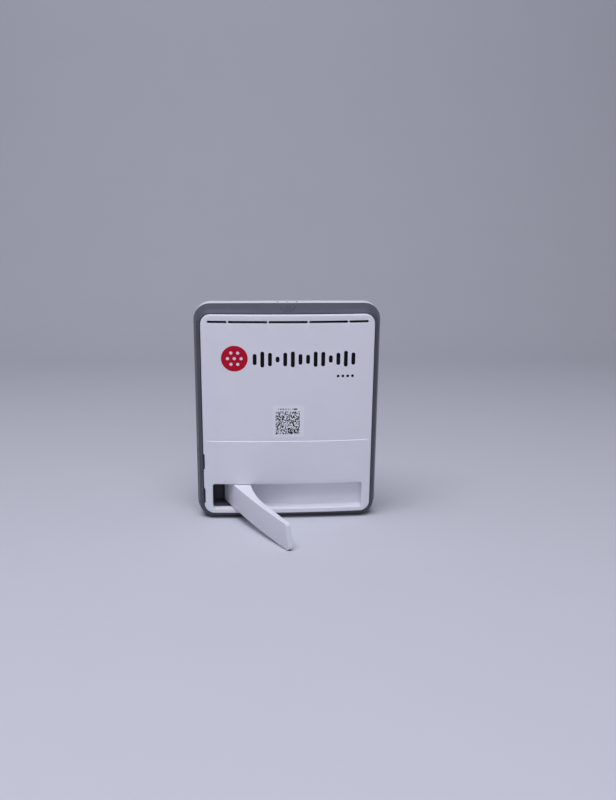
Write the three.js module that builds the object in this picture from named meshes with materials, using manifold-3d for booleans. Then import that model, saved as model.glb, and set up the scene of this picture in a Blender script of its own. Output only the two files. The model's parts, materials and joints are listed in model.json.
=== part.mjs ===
// Portable radar launch monitor, standing on its base with its kickstand leg swung out.
//
// Body axes, in millimetres: +X to the right seen from behind, +Y from the back panel towards the
// radar window, +Z up the body. The whole body leans back by LEAN about X, so that its flat base
// and the tip of the leg both stand on Z = 0.
import * as THREE from 'three';
import { mergeVertices } from 'three/addons/utils/BufferGeometryUtils.js';
import Module from 'manifold-3d';

const wasm = await Module();
wasm.setup();

// ---------------------------------------------------------------- driving dimensions
const WIDTH = 112;                 // widest outline, at the bumper's front edge
const HEIGHT = 135;                // base edge to the top of that outline
const LEAN = THREE.MathUtils.degToRad(7.24);
const CORNER = 10;                 // corner radius of the widest outline
const GAP = 0.3;                   // clearance between touching pieces

const BACK_CROWN = 2.3;            // how far the back panel's middle stands behind its sides
const SHELL_WALL = 2.2;
const SKIRT_WALL = 1.3;            // side walls, thinner than the panel
const SHELL_INSET = 4.5;           // back panel's edge, in from the widest outline
const SHELL_BOTTOM = 4;            // back panel's lower edge
const SHELL_SKIRT = 5;             // depth of the back shell's side walls
const STEP_Z = 51.7;               // ledge across the back panel
const STEP_PROUD = 0.35;           // how far the panel below the ledge stands out

const BUMPER_BACK = 1.2;           // bumper's back and front edges, along Y
const BUMPER_FRONT = 13;
const BUMPER_RIDGE = 5.3;          // ridge between the bumper's two facets
const BUMPER_RIDGE_INSET = 2.15;
const BUMPER_LIP = 0.25;           // width of the bumper's back-facing lip
const BUMPER_LIP_LOW = 2.9;        // where the lip begins above the base
const BUMPER_INSET = 7;            // inner wall of the bumper
const BASE_ZERO_Y = 1.5;           // depth where the flat base's plane crosses Z = 0
const ORIGIN_Y = 7.2;              // depth of the origin, on the flat base

const COVER_FRONT = 20.5;          // where the front cover's sides end and its face begins
const COVER_DEPTH = 25.5;          // front cover's crown
const COVER_WALL = 1.8;

const VENT_Z = 126.1;
const VENT_HEIGHT = 1.2;
const VENT_LENGTH = 95.2;
const VENT_RIB_PITCH = 23.8;
const VENT_RIB = 1.1;
const VENT_RIBS = 4;
const MESH_DEPTH = 0.5;
const MESH_MARGIN = 0.9;           // how far the mesh reaches past the openings, above and below

const WELL_HALF = 46.2;            // leg recess in the back panel
const WELL_LOW = 7;
const WELL_HIGH = 23.55;
const WELL_CORNER = 1.5;
const WELL_WALL = 1.4;
const WELL_DEPTH = 16.8;           // deep end, where the leg's tail swings in
const WELL_SHALLOW = 4.6;          // shallow end, behind the folded blade
const POCKET_BACK = 5;             // where the dark liner of the deep end begins, along Y and X
const POCKET_SIDE = -33;

const PIVOT = new THREE.Vector2(-28.6, 8);
const LEG_OPEN = THREE.MathUtils.degToRad(63);
const LEG_TIP = 43.4;              // folded leg's far end, along X
const LEG_TAIL = -38.4;            // folded leg's short end
const LEG_LOW = 7.8;
const LEG_HIGH = 23.2;
const LEG_BLADE = 3.9;             // blade thickness, by the hub and at the tip
const LEG_TIP_BLADE = 2.8;
const LEG_BLADE_END = 8;           // where the blade begins to swell into the hub, along X
const LEG_HUB = 4.2;               // hub radius round the pin
const LEG_TIP_CORNER = 2.4;
const LEG_TIP_SLANT = 3;           // how much shorter the blade's upper edge is
const PIN_RADIUS = 1.2;

const BUTTON_RADIUS = 4.25;
const BUTTON_PROUD = 0.4;
const BUTTON_DEPTH = 0.8;          // cap's inner face, and the stem's end, in from the facet
const BUTTON_STEM_END = 5.7;
const BUTTON_STEM_RADIUS = 1.5;
const BUTTON_Y = 7.2;
const BUTTON_SLOPE = THREE.MathUtils.degToRad(20);
const LIGHT_RADIUS = 0.8;
const LIGHT_PITCH = 5.8;
const LIGHT_Y = 17.2;

const DOOR_LOW = 9.6;              // rubber port door in the bumper's left side
const DOOR_HIGH = 43.4;
const DOOR_BACK = 4.6;
const DOOR_FRONT = 11.4;
const DOOR_DEPTH = 3;              // door thickness, in from the widest outline
const PORT_BACK = 5.6;             // socket opening behind the door
const PORT_FRONT = 10.2;
const PORT_LOW = 33;
const PORT_HIGH = 43;
const NOTCH_WIDTH = 1.2;           // finger notches in the back panel's left edge
const NOTCH_LENGTH = 11;

const CHASSIS_BACK = 10;
const CHASSIS_FRONT = 13;

// Plain inner parts, as low and high corners
const LABEL_BOX = [[-8.5, -STEP_PROUD, 55], [10.5, -0.1, 74.5]];
const SHIELD_BOX = [[-26, 4.9, 66], [26, 7.3, 104]];
const SPREADER_BOX = [[-30, 3.2, 62], [30, 4.6, 108]];
const MAIN_BOARD_BOX = [[-43.2, 7.6, 28], [43.2, 9.2, 112]];
const BATTERY_BOX = [[-32, 9.6, 34], [32, 17.4, 84]];
const ANTENNA_BOX = [[-40, 18.2, 32], [40, 19.6, 122]];
const SOCKET_BOX = [[-51.2, 6.3, 33.5], [-41.5, 9.5, 42.5]];
const SOCKET_MOUTH_BOX = [[-52, 6.7, 33.9], [-45, 9.1, 42.1]];
const BUTTON_BOARD_BOX = [[-12, 5.6, 123.3], [12, 19.4, 124.5]];
const SWITCH_BOX = [[-3, 6, 124.8], [3, 12, 126.4]];
const PLUNGER_RADIUS = 1.4;
const PLUNGER_PROUD = 0.6;
const FLEX_WIDTH = 16;
const FLEX_LINE = [                // the flexible cable's path, as Y and Z
  [9.5, 106], [13.6, 106], [17.9, 102], [17.9, 102.3], [13.7, 106.3], [9.5, 106.3],
];

const HALF = WIDTH / 2;
const SHELL_HALF = HALF - SHELL_INSET;
const SHELL_TOP = HEIGHT - SHELL_INSET;

// ---------------------------------------------------------------- geometry helpers

/** A three.js geometry as a Manifold solid. */
function solid(geometry) {
  const bare = geometry.clone();
  bare.deleteAttribute('normal');
  bare.deleteAttribute('uv');
  const merged = mergeVertices(bare, 1e-4);
  return new wasm.Manifold(new wasm.Mesh({
    numProp: 3,
    vertProperties: new Float32Array(merged.attributes.position.array),
    triVerts: new Uint32Array(merged.index.array),
  }));
}

/** A Manifold solid back as a three.js geometry. */
function geometryOf(manifold) {
  const result = manifold.getMesh();
  const geometry = new THREE.BufferGeometry();
  geometry.setAttribute('position', new THREE.BufferAttribute(result.vertProperties, 3));
  geometry.setIndex(new THREE.BufferAttribute(result.triVerts, 1));
  geometry.computeVertexNormals();
  return geometry;
}

/** A box given by its low and high corners. */
function boxBetween(low, high) {
  const size = high.map((value, axis) => value - low[axis]);
  const geometry = new THREE.BoxGeometry(...size);
  return solid(geometry.translate(...low.map((value, axis) => value + size[axis] / 2)));
}

/** A rounded rectangle in the X-Z plane, symmetric in X. */
function outline(half, low, high, radius) {
  const shape = new THREE.Shape();
  shape.moveTo(half, low + radius);
  shape.lineTo(half, high - radius);
  shape.absarc(half - radius, high - radius, radius, 0, Math.PI / 2, false);
  shape.lineTo(radius - half, high);
  shape.absarc(radius - half, high - radius, radius, Math.PI / 2, Math.PI, false);
  shape.lineTo(-half, low + radius);
  shape.absarc(radius - half, low + radius, radius, Math.PI, Math.PI * 1.5, false);
  shape.lineTo(half - radius, low);
  shape.absarc(half - radius, low + radius, radius, Math.PI * 1.5, Math.PI * 2, false);
  return shape;
}

/** An X-Z shape extruded from one Y to another. */
function slab(shape, fromY, toY) {
  const geometry = new THREE.ExtrudeGeometry(shape, {
    depth: toY - fromY, bevelEnabled: false, curveSegments: 5,
  });
  return solid(geometry.rotateX(Math.PI / 2).translate(0, toY, 0));
}

/** An X-Y shape extruded from one Z to another. */
function prism(shape, fromZ, toZ, curveSegments = 10) {
  const geometry = new THREE.ExtrudeGeometry(shape, {
    depth: toZ - fromZ, bevelEnabled: false, curveSegments,
  });
  return solid(geometry.translate(0, 0, fromZ));
}

/** The points round a shape, with the doubled ones at its joints left out. */
function ringPoints(shape) {
  const points = shape.getPoints(4);
  return points.filter((point, step) => (
    point.distanceTo(points[(step + 1) % points.length]) > 1e-4));
}

/** A closed solid through rounded rectangles placed one after another along Y. */
function loft(levels) {
  const rings = levels.map(({ y, half, low, high, radius }) => {
    const points = ringPoints(outline(half, low, high, radius));
    return points.map((point) => new THREE.Vector3(point.x, y, point.y));
  });
  const count = rings[0].length;
  const positions = rings.flat().flatMap((point) => point.toArray());
  const index = [];
  for (let ring = 0; ring + 1 < rings.length; ring += 1) {
    for (let step = 0; step < count; step += 1) {
      const near = ring * count + step;
      const next = ring * count + (step + 1) % count;
      index.push(near, near + count, next, next, near + count, next + count);
    }
  }
  const last = (rings.length - 1) * count;
  for (let step = 1; step + 1 < count; step += 1) {
    index.push(0, step, step + 1);
    index.push(last, last + step + 1, last + step);
  }
  const geometry = new THREE.BufferGeometry();
  geometry.setAttribute('position', new THREE.Float32BufferAttribute(positions, 3));
  geometry.setIndex(index);
  return solid(geometry);
}

/** A cylinder along Y, Z or any direction, centred on a point. */
function rod(radius, length, centre, direction = new THREE.Vector3(0, 0, 1), segments = 16) {
  const geometry = new THREE.CylinderGeometry(radius, radius, length, segments);
  const turn = new THREE.Quaternion().setFromUnitVectors(new THREE.Vector3(0, 1, 0), direction);
  return solid(geometry.applyQuaternion(turn).translate(centre.x, centre.y, centre.z));
}

/** Everything in front of the crowned back surface, moved in by offset. */
function behindCrown(offset) {
  const shape = new THREE.Shape();
  shape.moveTo(-HALF, 60);
  shape.lineTo(-HALF, BACK_CROWN + offset);
  shape.quadraticCurveTo(0, -BACK_CROWN + offset, HALF, BACK_CROWN + offset);
  shape.lineTo(HALF, 60);
  shape.closePath();
  return prism(shape, -20, HEIGHT + 20, 14);
}

/** Depth of the crowned back surface at a place along X. */
function crownAt(x) {
  return BACK_CROWN * (x / HALF) ** 2;
}

/** Height of the flat base at a depth: it lies on Z = 0 once the body leans. */
function baseAt(y) {
  return -(y - BASE_ZERO_Y) * Math.tan(LEAN);
}

/** One level of a loft, inset from the widest outline. */
function level(y, inset, low) {
  return { y, half: HALF - inset, low, high: HEIGHT - inset, radius: CORNER - inset * 0.35 };
}

// ---------------------------------------------------------------- finishes

/** A material with its colour, roughness and metalness. */
function finish(color, roughness, metalness = 0) {
  return new THREE.MeshStandardMaterial({ color, roughness, metalness });
}

const FINISHES = {
  shell: finish('#d9dae4', 0.5),
  bumper: finish('#4c4d57', 0.72),
  darkPlastic: finish('#2a2b30', 0.6),
  board: finish('#1d5a38', 0.55),
  steel: finish('#b9bcc2', 0.3, 1),
  aluminium: finish('#a9adb3', 0.4, 1),
  battery: finish('#3a4a70', 0.45),
  lens: finish('#e8ecf2', 0.25),
  label: finish('#f2f2f4', 0.5),
  acetal: finish('#e6e6e0', 0.45),
  polyimide: finish('#b8742c', 0.4),
};

/** A named sub-part. */
function part(name, manifold, material) {
  const mesh = new THREE.Mesh(geometryOf(manifold), material);
  mesh.name = name;
  return mesh;
}

// ---------------------------------------------------------------- casings

/** Vent openings through the back panel, between the ribs. */
function ventOpenings(fromY, toY) {
  const edges = [-VENT_LENGTH / 2];
  for (let rib = 0; rib < VENT_RIBS; rib += 1) {
    const centre = (rib - (VENT_RIBS - 1) / 2) * VENT_RIB_PITCH;
    edges.push(centre - VENT_RIB / 2, centre + VENT_RIB / 2);
  }
  edges.push(VENT_LENGTH / 2);
  const openings = [];
  for (let side = 0; side < edges.length; side += 2) {
    openings.push(boxBetween(
      [edges[side], fromY, VENT_Z - VENT_HEIGHT / 2],
      [edges[side + 1], toY, VENT_Z + VENT_HEIGHT / 2],
    ));
  }
  return openings;
}

const BOARD_POSTS = [[-40, 54], [40, 54], [-40, 106], [40, 106]];
const CASE_POSTS = [[-45.8, 50], [45.8, 50], [-45.8, 117], [45.8, 117]];
const POST_RADIUS = 2.6;
const SCREW_RADIUS = 1.2;
const ALONG_Y = new THREE.Vector3(0, 1, 0);

/** Adds posts with blind screw holes to a casing. */
function withPosts(casing, places, fromY, toY, holeFromY, holeToY) {
  let result = casing;
  for (const [x, z] of places) {
    const centre = new THREE.Vector3(x, (fromY + toY) / 2, z);
    result = result.add(rod(POST_RADIUS, toY - fromY, centre, ALONG_Y, 12));
  }
  for (const [x, z] of places) {
    const centre = new THREE.Vector3(x, (holeFromY + holeToY) / 2, z);
    result = result.subtract(rod(SCREW_RADIUS + GAP, holeToY - holeFromY, centre, ALONG_Y, 12));
  }
  return result;
}

/** White rear casing: crowned panel with the ledge, vent, leg opening and finger notches. */
function backShell() {
  const body = slab(outline(SHELL_HALF, SHELL_BOTTOM, SHELL_TOP, 6), -2, SHELL_SKIRT);
  const inner = slab(
    outline(SHELL_HALF - SKIRT_WALL, SHELL_BOTTOM + SKIRT_WALL, SHELL_TOP - SKIRT_WALL, 4), -2, 20);
  const lower = boxBetween([-HALF, -2, -5], [HALF, 60, STEP_Z]);
  let shell = behindCrown(0).add(behindCrown(-STEP_PROUD).intersect(lower)).intersect(body);
  shell = shell.subtract(inner.intersect(behindCrown(SHELL_WALL)));
  shell = withPosts(shell, BOARD_POSTS, SHELL_WALL, 7.3, 3.6, 8);
  shell = shell.subtract(slab(outline(WELL_HALF, WELL_LOW, WELL_HIGH, WELL_CORNER), -3, 8));
  for (const opening of ventOpenings(-3, 8)) shell = shell.subtract(opening);
  for (const low of [DOOR_LOW, DOOR_HIGH - NOTCH_LENGTH]) {
    const notch = boxBetween(
      [-SHELL_HALF - 1, -3, low], [-SHELL_HALF + NOTCH_WIDTH, 3.6, low + NOTCH_LENGTH]);
    shell = shell.subtract(notch);
  }
  return shell;
}

/** Dark rubber bumper round the body, before the door and button are cut. */
function bumperRing() {
  const outer = loft([
    level(BUMPER_BACK, SHELL_INSET - GAP - BUMPER_LIP, BUMPER_LIP_LOW),
    level(BUMPER_RIDGE, BUMPER_RIDGE_INSET, baseAt(BUMPER_RIDGE)),
    level(BUMPER_FRONT, 0, baseAt(BUMPER_FRONT)),
  ]);
  const seat = slab(
    outline(SHELL_HALF + GAP, SHELL_BOTTOM - GAP, SHELL_TOP + GAP, 6), -2, SHELL_SKIRT + GAP);
  const bore = slab(
    outline(HALF - BUMPER_INSET, SHELL_BOTTOM, HEIGHT - BUMPER_INSET, 4), -2, BUMPER_FRONT + 1);
  return outer.intersect(behindCrown(BUMPER_BACK)).subtract(seat).subtract(bore);
}

/** The space in the bumper that the port door fills, grown by a clearance. */
function doorSpace(clearance) {
  return boxBetween(
    [-HALF - 5, DOOR_BACK - clearance, DOOR_LOW - clearance],
    [-HALF + DOOR_DEPTH + clearance, DOOR_FRONT + clearance, DOOR_HIGH + clearance]);
}

/** Opening behind the door, through which the socket is reached. */
function portOpening() {
  return boxBetween([-HALF - 5, PORT_BACK, PORT_LOW], [-HALF + 12, PORT_FRONT, PORT_HIGH]);
}

/** Inset of the bumper's outer surface at a depth on its front facet. */
function facetInset(y) {
  const along = (y - BUMPER_RIDGE) / (BUMPER_FRONT - BUMPER_RIDGE);
  return BUMPER_RIDGE_INSET * (1 - along);
}

const BUTTON_NORMAL = new THREE.Vector3(0, -Math.sin(BUTTON_SLOPE), Math.cos(BUTTON_SLOPE));
const BUTTON_SEAT = new THREE.Vector3(0, BUTTON_Y, HEIGHT - facetInset(BUTTON_Y));

/** A disc along the button's axis, from one distance off the facet to another. */
function buttonDisc(radius, from, to, segments = 24) {
  const centre = BUTTON_SEAT.clone().addScaledVector(BUTTON_NORMAL, (from + to) / 2);
  return rod(radius, to - from, centre, BUTTON_NORMAL, segments);
}

/** Rubber bumper with its door window, socket opening and button hole. */
function bumper() {
  return bumperRing()
    .subtract(doorSpace(GAP + 0.05))
    .subtract(portOpening())
    .subtract(buttonDisc(BUTTON_RADIUS + GAP, -9, 4));
}

/** White front housing: straight sides, rounded edge and a gently crowned radar window. */
function frontCover() {
  const start = BUMPER_FRONT + GAP;
  const lowAt = (y) => baseAt(y) + 0.6;
  const outer = loft([
    level(start, 0.3, lowAt(start)),
    level(COVER_FRONT, 0.5, lowAt(COVER_FRONT)),
    level(COVER_FRONT + 1.9, 1.4, lowAt(COVER_FRONT) + 1),
    level(COVER_FRONT + 3, 3.2, lowAt(COVER_FRONT) + 2.8),
    level(COVER_FRONT + 3.5, 6, lowAt(COVER_FRONT) + 5.6),
    level(COVER_DEPTH - 0.5, 18, 16),
    level(COVER_DEPTH, 28, 26),
  ]);
  const wall = COVER_WALL;
  const inner = loft([
    level(start - 1, 0.3 + wall, lowAt(start) + wall),
    level(COVER_FRONT, 0.5 + wall, lowAt(COVER_FRONT) + wall),
    level(COVER_FRONT + 1.4, 4.2, lowAt(COVER_FRONT) + 4),
    level(COVER_DEPTH - 0.5 - wall, 20, 18),
  ]);
  const posted = withPosts(
    outer.subtract(inner), CASE_POSTS, start, COVER_FRONT + 2.5, start - 1, COVER_FRONT - 1);
  let cover = posted;
  for (const centre of lightPlaces()) {
    cover = cover.subtract(rod(LIGHT_RADIUS + GAP, 12, centre));
  }
  return cover;
}

/** Inner chassis ring that the boards, the bumper and the front cover fasten to. */
function chassis() {
  const middleY = (CHASSIS_BACK + CHASSIS_FRONT) / 2;
  const past = CHASSIS_FRONT - CHASSIS_BACK + 2;
  let ring = slab(outline(48.6, 27, 122.3, 3), CHASSIS_BACK, CHASSIS_FRONT)
    .subtract(slab(outline(42.6, 31, 112, 2), CHASSIS_BACK - 1, CHASSIS_FRONT + 1))
    .subtract(boxBetween(
      [-50, CHASSIS_BACK - 1, PORT_LOW - 1], [-43, CHASSIS_FRONT + 1, PORT_HIGH + 1]));
  for (const [x, z] of CASE_POSTS) {
    const centre = new THREE.Vector3(x, middleY, z);
    ring = ring.subtract(rod(SCREW_RADIUS + GAP, past, centre, ALONG_Y, 12));
  }
  return ring;
}

// ---------------------------------------------------------------- kickstand

/** Adds the leg's inner face and hub to a shape that stands at the blade's inner corner. */
function innerFace(shape, hub, clearance, taper, hubEnd) {
  const bladeEnd = LEG_BLADE_END;
  const bladeY = LEG_BLADE + clearance;
  const middleY = bladeY + crownAt(1) * LEG_TIP * bladeEnd - taper / 4;
  shape.quadraticCurveTo(
    (LEG_TIP + bladeEnd) / 2, middleY, bladeEnd, bladeY + crownAt(bladeEnd));
  shape.bezierCurveTo(
    -8, 4.4 + clearance, -16.5, 9.6 + clearance,
    PIVOT.x + hub * Math.SQRT1_2, PIVOT.y + hub * Math.SQRT1_2);
  shape.absarc(PIVOT.x, PIVOT.y, hub, Math.PI / 4, hubEnd, false);
}

/** The leg folded flat: crowned outer face, S-curved inner face and a hub round the pin. */
function legOutline() {
  const shape = new THREE.Shape();
  const chordY = BACK_CROWN * LEG_TAIL * LEG_TIP / HALF ** 2;
  shape.moveTo(LEG_TAIL, crownAt(LEG_TAIL));
  shape.quadraticCurveTo((LEG_TAIL + LEG_TIP) / 2, chordY, LEG_TIP, crownAt(LEG_TIP));
  shape.lineTo(LEG_TIP, crownAt(LEG_TIP) + LEG_TIP_BLADE);
  innerFace(shape, LEG_HUB, 0, LEG_BLADE - LEG_TIP_BLADE, Math.PI * 0.85);
  shape.lineTo(LEG_TAIL + 0.8, 5.6);
  shape.lineTo(LEG_TAIL, 5);
  shape.closePath();
  return shape;
}

const BUSH_RADIUS = 3.2;
const BUSH_LENGTH = 1;
const PAD_LENGTH = 7;
const PAD_WIDTH = 1.4;
const PAD_DEPTH = 2;
const PAD_PROUD = 0.25;
const PAD_END = 1.5;

/** The pad's slot or body in the underside of the leg's tip, with the leg folded. */
function padBlock(clearance, low, high) {
  const middleY = crownAt(LEG_TIP - PAD_END) + LEG_TIP_BLADE / 2;
  const half = PAD_WIDTH / 2 + clearance;
  return boxBetween(
    [LEG_TIP - PAD_END - PAD_LENGTH - clearance, middleY - half, low],
    [LEG_TIP - PAD_END + clearance, middleY + half, high]);
}

/** Kickstand leg, folded, in body axes. */
function legFolded() {
  const side = new THREE.Shape();
  const radius = LEG_TIP_CORNER;
  const slope = Math.atan(LEG_TIP_SLANT / (LEG_HIGH - LEG_LOW - 2 * radius));
  side.moveTo(LEG_TAIL - 2, LEG_LOW);
  side.lineTo(LEG_TIP - radius, LEG_LOW);
  side.absarc(LEG_TIP - radius, LEG_LOW + radius, radius, -Math.PI / 2, slope, false);
  side.absarc(LEG_TIP - LEG_TIP_SLANT - radius, LEG_HIGH - radius, radius,
    slope, Math.PI / 2, false);
  side.lineTo(LEG_TAIL - 2, LEG_HIGH);
  side.closePath();
  const pin = new THREE.Vector3(PIVOT.x, PIVOT.y, 15);
  const bushSpace = BUSH_LENGTH + 2 * GAP;
  let leg = prism(legOutline(), LEG_LOW, LEG_HIGH, 9).intersect(slab(side, -2, 20));
  leg = leg.subtract(rod(PIN_RADIUS + GAP, 40, pin));
  for (const z of [LEG_LOW + bushSpace / 2, LEG_HIGH - bushSpace / 2]) {
    const centre = new THREE.Vector3(PIVOT.x, PIVOT.y, z);
    leg = leg.subtract(rod(BUSH_RADIUS + GAP, bushSpace + 0.02, centre));
  }
  return leg.subtract(padBlock(GAP, LEG_LOW - 1, LEG_LOW + PAD_DEPTH + GAP));
}

/** The recess's hollow: shallow behind the blade, deep where the tail swings in. */
function wellHollow() {
  const shape = new THREE.Shape();
  const left = -WELL_HALF;
  const clearance = WELL_SHALLOW - LEG_BLADE;
  shape.moveTo(left, -1);
  shape.lineTo(WELL_HALF, -1);
  shape.lineTo(WELL_HALF, WELL_SHALLOW + crownAt(LEG_TIP));
  shape.lineTo(LEG_TIP, WELL_SHALLOW + crownAt(LEG_TIP));
  innerFace(shape, LEG_HUB + clearance, clearance, 0, Math.PI * 0.42);
  shape.lineTo(PIVOT.x + 1, WELL_DEPTH);
  shape.lineTo(left, WELL_DEPTH);
  shape.closePath();
  return shape;
}

/** The recess's outside, one wall thickness round the hollow. */
function wellOuter() {
  const shape = new THREE.Shape();
  const left = -WELL_HALF - WELL_WALL;
  const floor = WELL_SHALLOW + crownAt(LEG_TIP) + WELL_WALL;
  const back = WELL_DEPTH + WELL_WALL;
  shape.moveTo(left, 0);
  shape.lineTo(-left, 0);
  shape.lineTo(-left, floor);
  shape.lineTo(LEG_BLADE_END, floor - 0.6);
  shape.lineTo(-LEG_BLADE_END, 8.4);
  shape.lineTo(PIVOT.x + 9.6, 13.2);
  shape.lineTo(PIVOT.x + 4.6, back);
  shape.lineTo(left, back);
  shape.closePath();
  return shape;
}

/** Walls of the whole recess behind the back panel, with the pin's hole. */
function recessWalls() {
  const pin = new THREE.Vector3(PIVOT.x, PIVOT.y, 15);
  return prism(wellOuter(), WELL_LOW - WELL_WALL, WELL_HIGH + WELL_WALL)
    .intersect(behindCrown(SHELL_WALL + GAP))
    .subtract(prism(wellHollow(), WELL_LOW, WELL_HIGH, 9))
    .subtract(rod(PIN_RADIUS + GAP, 40, pin));
}

/** The part of the recess that the dark liner lines, grown by a clearance. */
function pocketSpace(clearance) {
  return boxBetween(
    [-HALF, POCKET_BACK - clearance, 0], [POCKET_SIDE + clearance, HALF, HEIGHT]);
}

/** White tray behind the back panel that holds the leg's pin. */
function legWell() {
  return recessWalls().subtract(pocketSpace(GAP));
}

/** Dark liner of the recess's deep end, where the leg's tail swings in. */
function tailPocket() {
  return recessWalls().intersect(pocketSpace(0));
}

/** Steel hinge pin. */
function hingePin() {
  const low = WELL_LOW - WELL_WALL;
  const high = WELL_HIGH + WELL_WALL;
  return rod(PIN_RADIUS, high - low, new THREE.Vector3(PIVOT.x, PIVOT.y, (low + high) / 2));
}

/** Acetal friction bush between the leg's hub and the tray. */
function hingeBush(centreZ) {
  const centre = new THREE.Vector3(PIVOT.x, PIVOT.y, centreZ);
  return rod(BUSH_RADIUS, BUSH_LENGTH, centre).subtract(rod(PIN_RADIUS + GAP, 9, centre));
}

// ---------------------------------------------------------------- button, lights and door

/** Power button: a disc in the bumper's top facet with a stem down to the switch. */
function powerButton() {
  const cap = buttonDisc(BUTTON_RADIUS, -BUTTON_DEPTH, BUTTON_PROUD);
  return cap.add(buttonDisc(BUTTON_STEM_RADIUS, -BUTTON_STEM_END, 0.1 - BUTTON_DEPTH, 12));
}

/** Centres of the three status lights in the front cover's top. */
function lightPlaces() {
  return [-1, 0, 1].map((step) => new THREE.Vector3(step * LIGHT_PITCH, LIGHT_Y, HEIGHT - 4));
}

/** Clear light pipe from the button board up through the front cover. */
function statusLight(centre) {
  const low = 124.9;
  const high = HEIGHT - 0.1;
  const middle = new THREE.Vector3(centre.x, centre.y, (low + high) / 2);
  return rod(LIGHT_RADIUS, high - low, middle, new THREE.Vector3(0, 0, 1), 10);
}

/** Rubber door that closes the socket opening flush with the bumper. */
function portDoor() {
  return bumperRing()
    .intersect(doorSpace(0))
    .subtract(boxBetween([-HALF + 3.6, 0, 0], [0, 20, 60]));
}

// ---------------------------------------------------------------- inner parts

/** Curved strip of dust mesh behind the vent openings. */
function ventMesh() {
  const nearY = SHELL_WALL + GAP;
  const reach = VENT_LENGTH / 2 + 0.5;
  const rise = VENT_HEIGHT / 2 + MESH_MARGIN;
  return boxBetween([-reach, 0, VENT_Z - rise], [reach, 9, VENT_Z + rise])
    .intersect(behindCrown(nearY))
    .subtract(behindCrown(nearY + MESH_DEPTH));
}

/** Main circuit board with its screw holes and socket notch. */
function mainBoard() {
  let board = boxBetween(...MAIN_BOARD_BOX);
  for (const [x, z] of BOARD_POSTS) {
    board = board.subtract(
      rod(SCREW_RADIUS + GAP, 4, new THREE.Vector3(x, 8.4, z), ALONG_Y, 12));
  }
  return board.subtract(boxBetween([-46, 7, PORT_LOW], [-41.1, 10, PORT_HIGH]));
}

/** Metal socket shell with an open mouth towards -X. */
function usbSocket() {
  return boxBetween(...SOCKET_BOX).subtract(boxBetween(...SOCKET_MOUTH_BOX));
}

/** Pan-head screw along Y, head towards +Y or -Y. */
function screw(x, z, headY, tipY) {
  const toTip = Math.sign(tipY - headY);
  const length = Math.abs(tipY - headY);
  const profile = [
    [0, 0], [2, 0], [2.1, 0.5], [2.1, 1.4], [SCREW_RADIUS, 1.4],
    [SCREW_RADIUS, length - 1], [0, length],
  ].map(([radius, along]) => new THREE.Vector2(radius, along));
  const geometry = new THREE.LatheGeometry(profile, 10);
  if (toTip < 0) geometry.rotateX(Math.PI);
  return solid(geometry.translate(x, headY, z));
}

/** Switch body with its plunger under the power button. */
function powerSwitch() {
  const top = SWITCH_BOX[1][2];
  const plunger = new THREE.Vector3(0, BUTTON_Y + 2, top + PLUNGER_PROUD / 2 - 0.1);
  return boxBetween(...SWITCH_BOX)
    .add(rod(PLUNGER_RADIUS, PLUNGER_PROUD + 0.2, plunger, undefined, 12));
}

/** Flat flexible cable between the main board and the antenna board. */
function flexCable() {
  const shape = new THREE.Shape(FLEX_LINE.map(([y, z]) => new THREE.Vector2(y, z)));
  const geometry = new THREE.ExtrudeGeometry(shape, { depth: FLEX_WIDTH, bevelEnabled: false });
  geometry.applyMatrix4(new THREE.Matrix4().makeBasis(
    new THREE.Vector3(0, 1, 0), new THREE.Vector3(0, 0, 1), new THREE.Vector3(1, 0, 0)));
  return solid(geometry.translate(10, 0, 0));
}

/** Every piece that stays still, in body axes. */
function fixedParts() {
  const bushInset = GAP + BUSH_LENGTH / 2;
  const parts = [
    part('back_shell', backShell(), FINISHES.shell),
    part('leg_well', legWell(), FINISHES.shell),
    part('tail_pocket', tailPocket(), FINISHES.darkPlastic),
    part('bumper_band', bumper(), FINISHES.bumper),
    part('front_cover', frontCover(), FINISHES.shell),
    part('chassis_frame', chassis(), FINISHES.darkPlastic),
    part('vent_mesh', ventMesh(), FINISHES.darkPlastic),
    part('label_plate', boxBetween(...LABEL_BOX), FINISHES.label),
    part('main_board', mainBoard(), FINISHES.board),
    part('shield_can', boxBetween(...SHIELD_BOX), FINISHES.steel),
    part('heat_spreader', boxBetween(...SPREADER_BOX), FINISHES.aluminium),
    part('battery_pack', boxBetween(...BATTERY_BOX), FINISHES.battery),
    part('antenna_board', boxBetween(...ANTENNA_BOX), FINISHES.board),
    part('flex_cable', flexCable(), FINISHES.polyimide),
    part('usb_socket', usbSocket(), FINISHES.steel),
    part('button_board', boxBetween(...BUTTON_BOARD_BOX), FINISHES.board),
    part('power_switch', powerSwitch(), FINISHES.darkPlastic),
    part('hinge_pin', hingePin(), FINISHES.steel),
    part('hinge_bush_lower', hingeBush(LEG_LOW + bushInset), FINISHES.acetal),
    part('hinge_bush_upper', hingeBush(LEG_HIGH - bushInset), FINISHES.acetal),
  ];
  lightPlaces().forEach((centre, index) => {
    parts.push(part(`status_light_${index + 1}`, statusLight(centre), FINISHES.lens));
  });
  BOARD_POSTS.forEach(([x, z], index) => {
    parts.push(part(`board_screw_${index + 1}`, screw(x, z, 10.9, 4), FINISHES.steel));
  });
  CASE_POSTS.forEach(([x, z], index) => {
    parts.push(part(`case_screw_${index + 1}`, screw(x, z, 8.3, 18), FINISHES.steel));
  });
  return parts;
}

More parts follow.
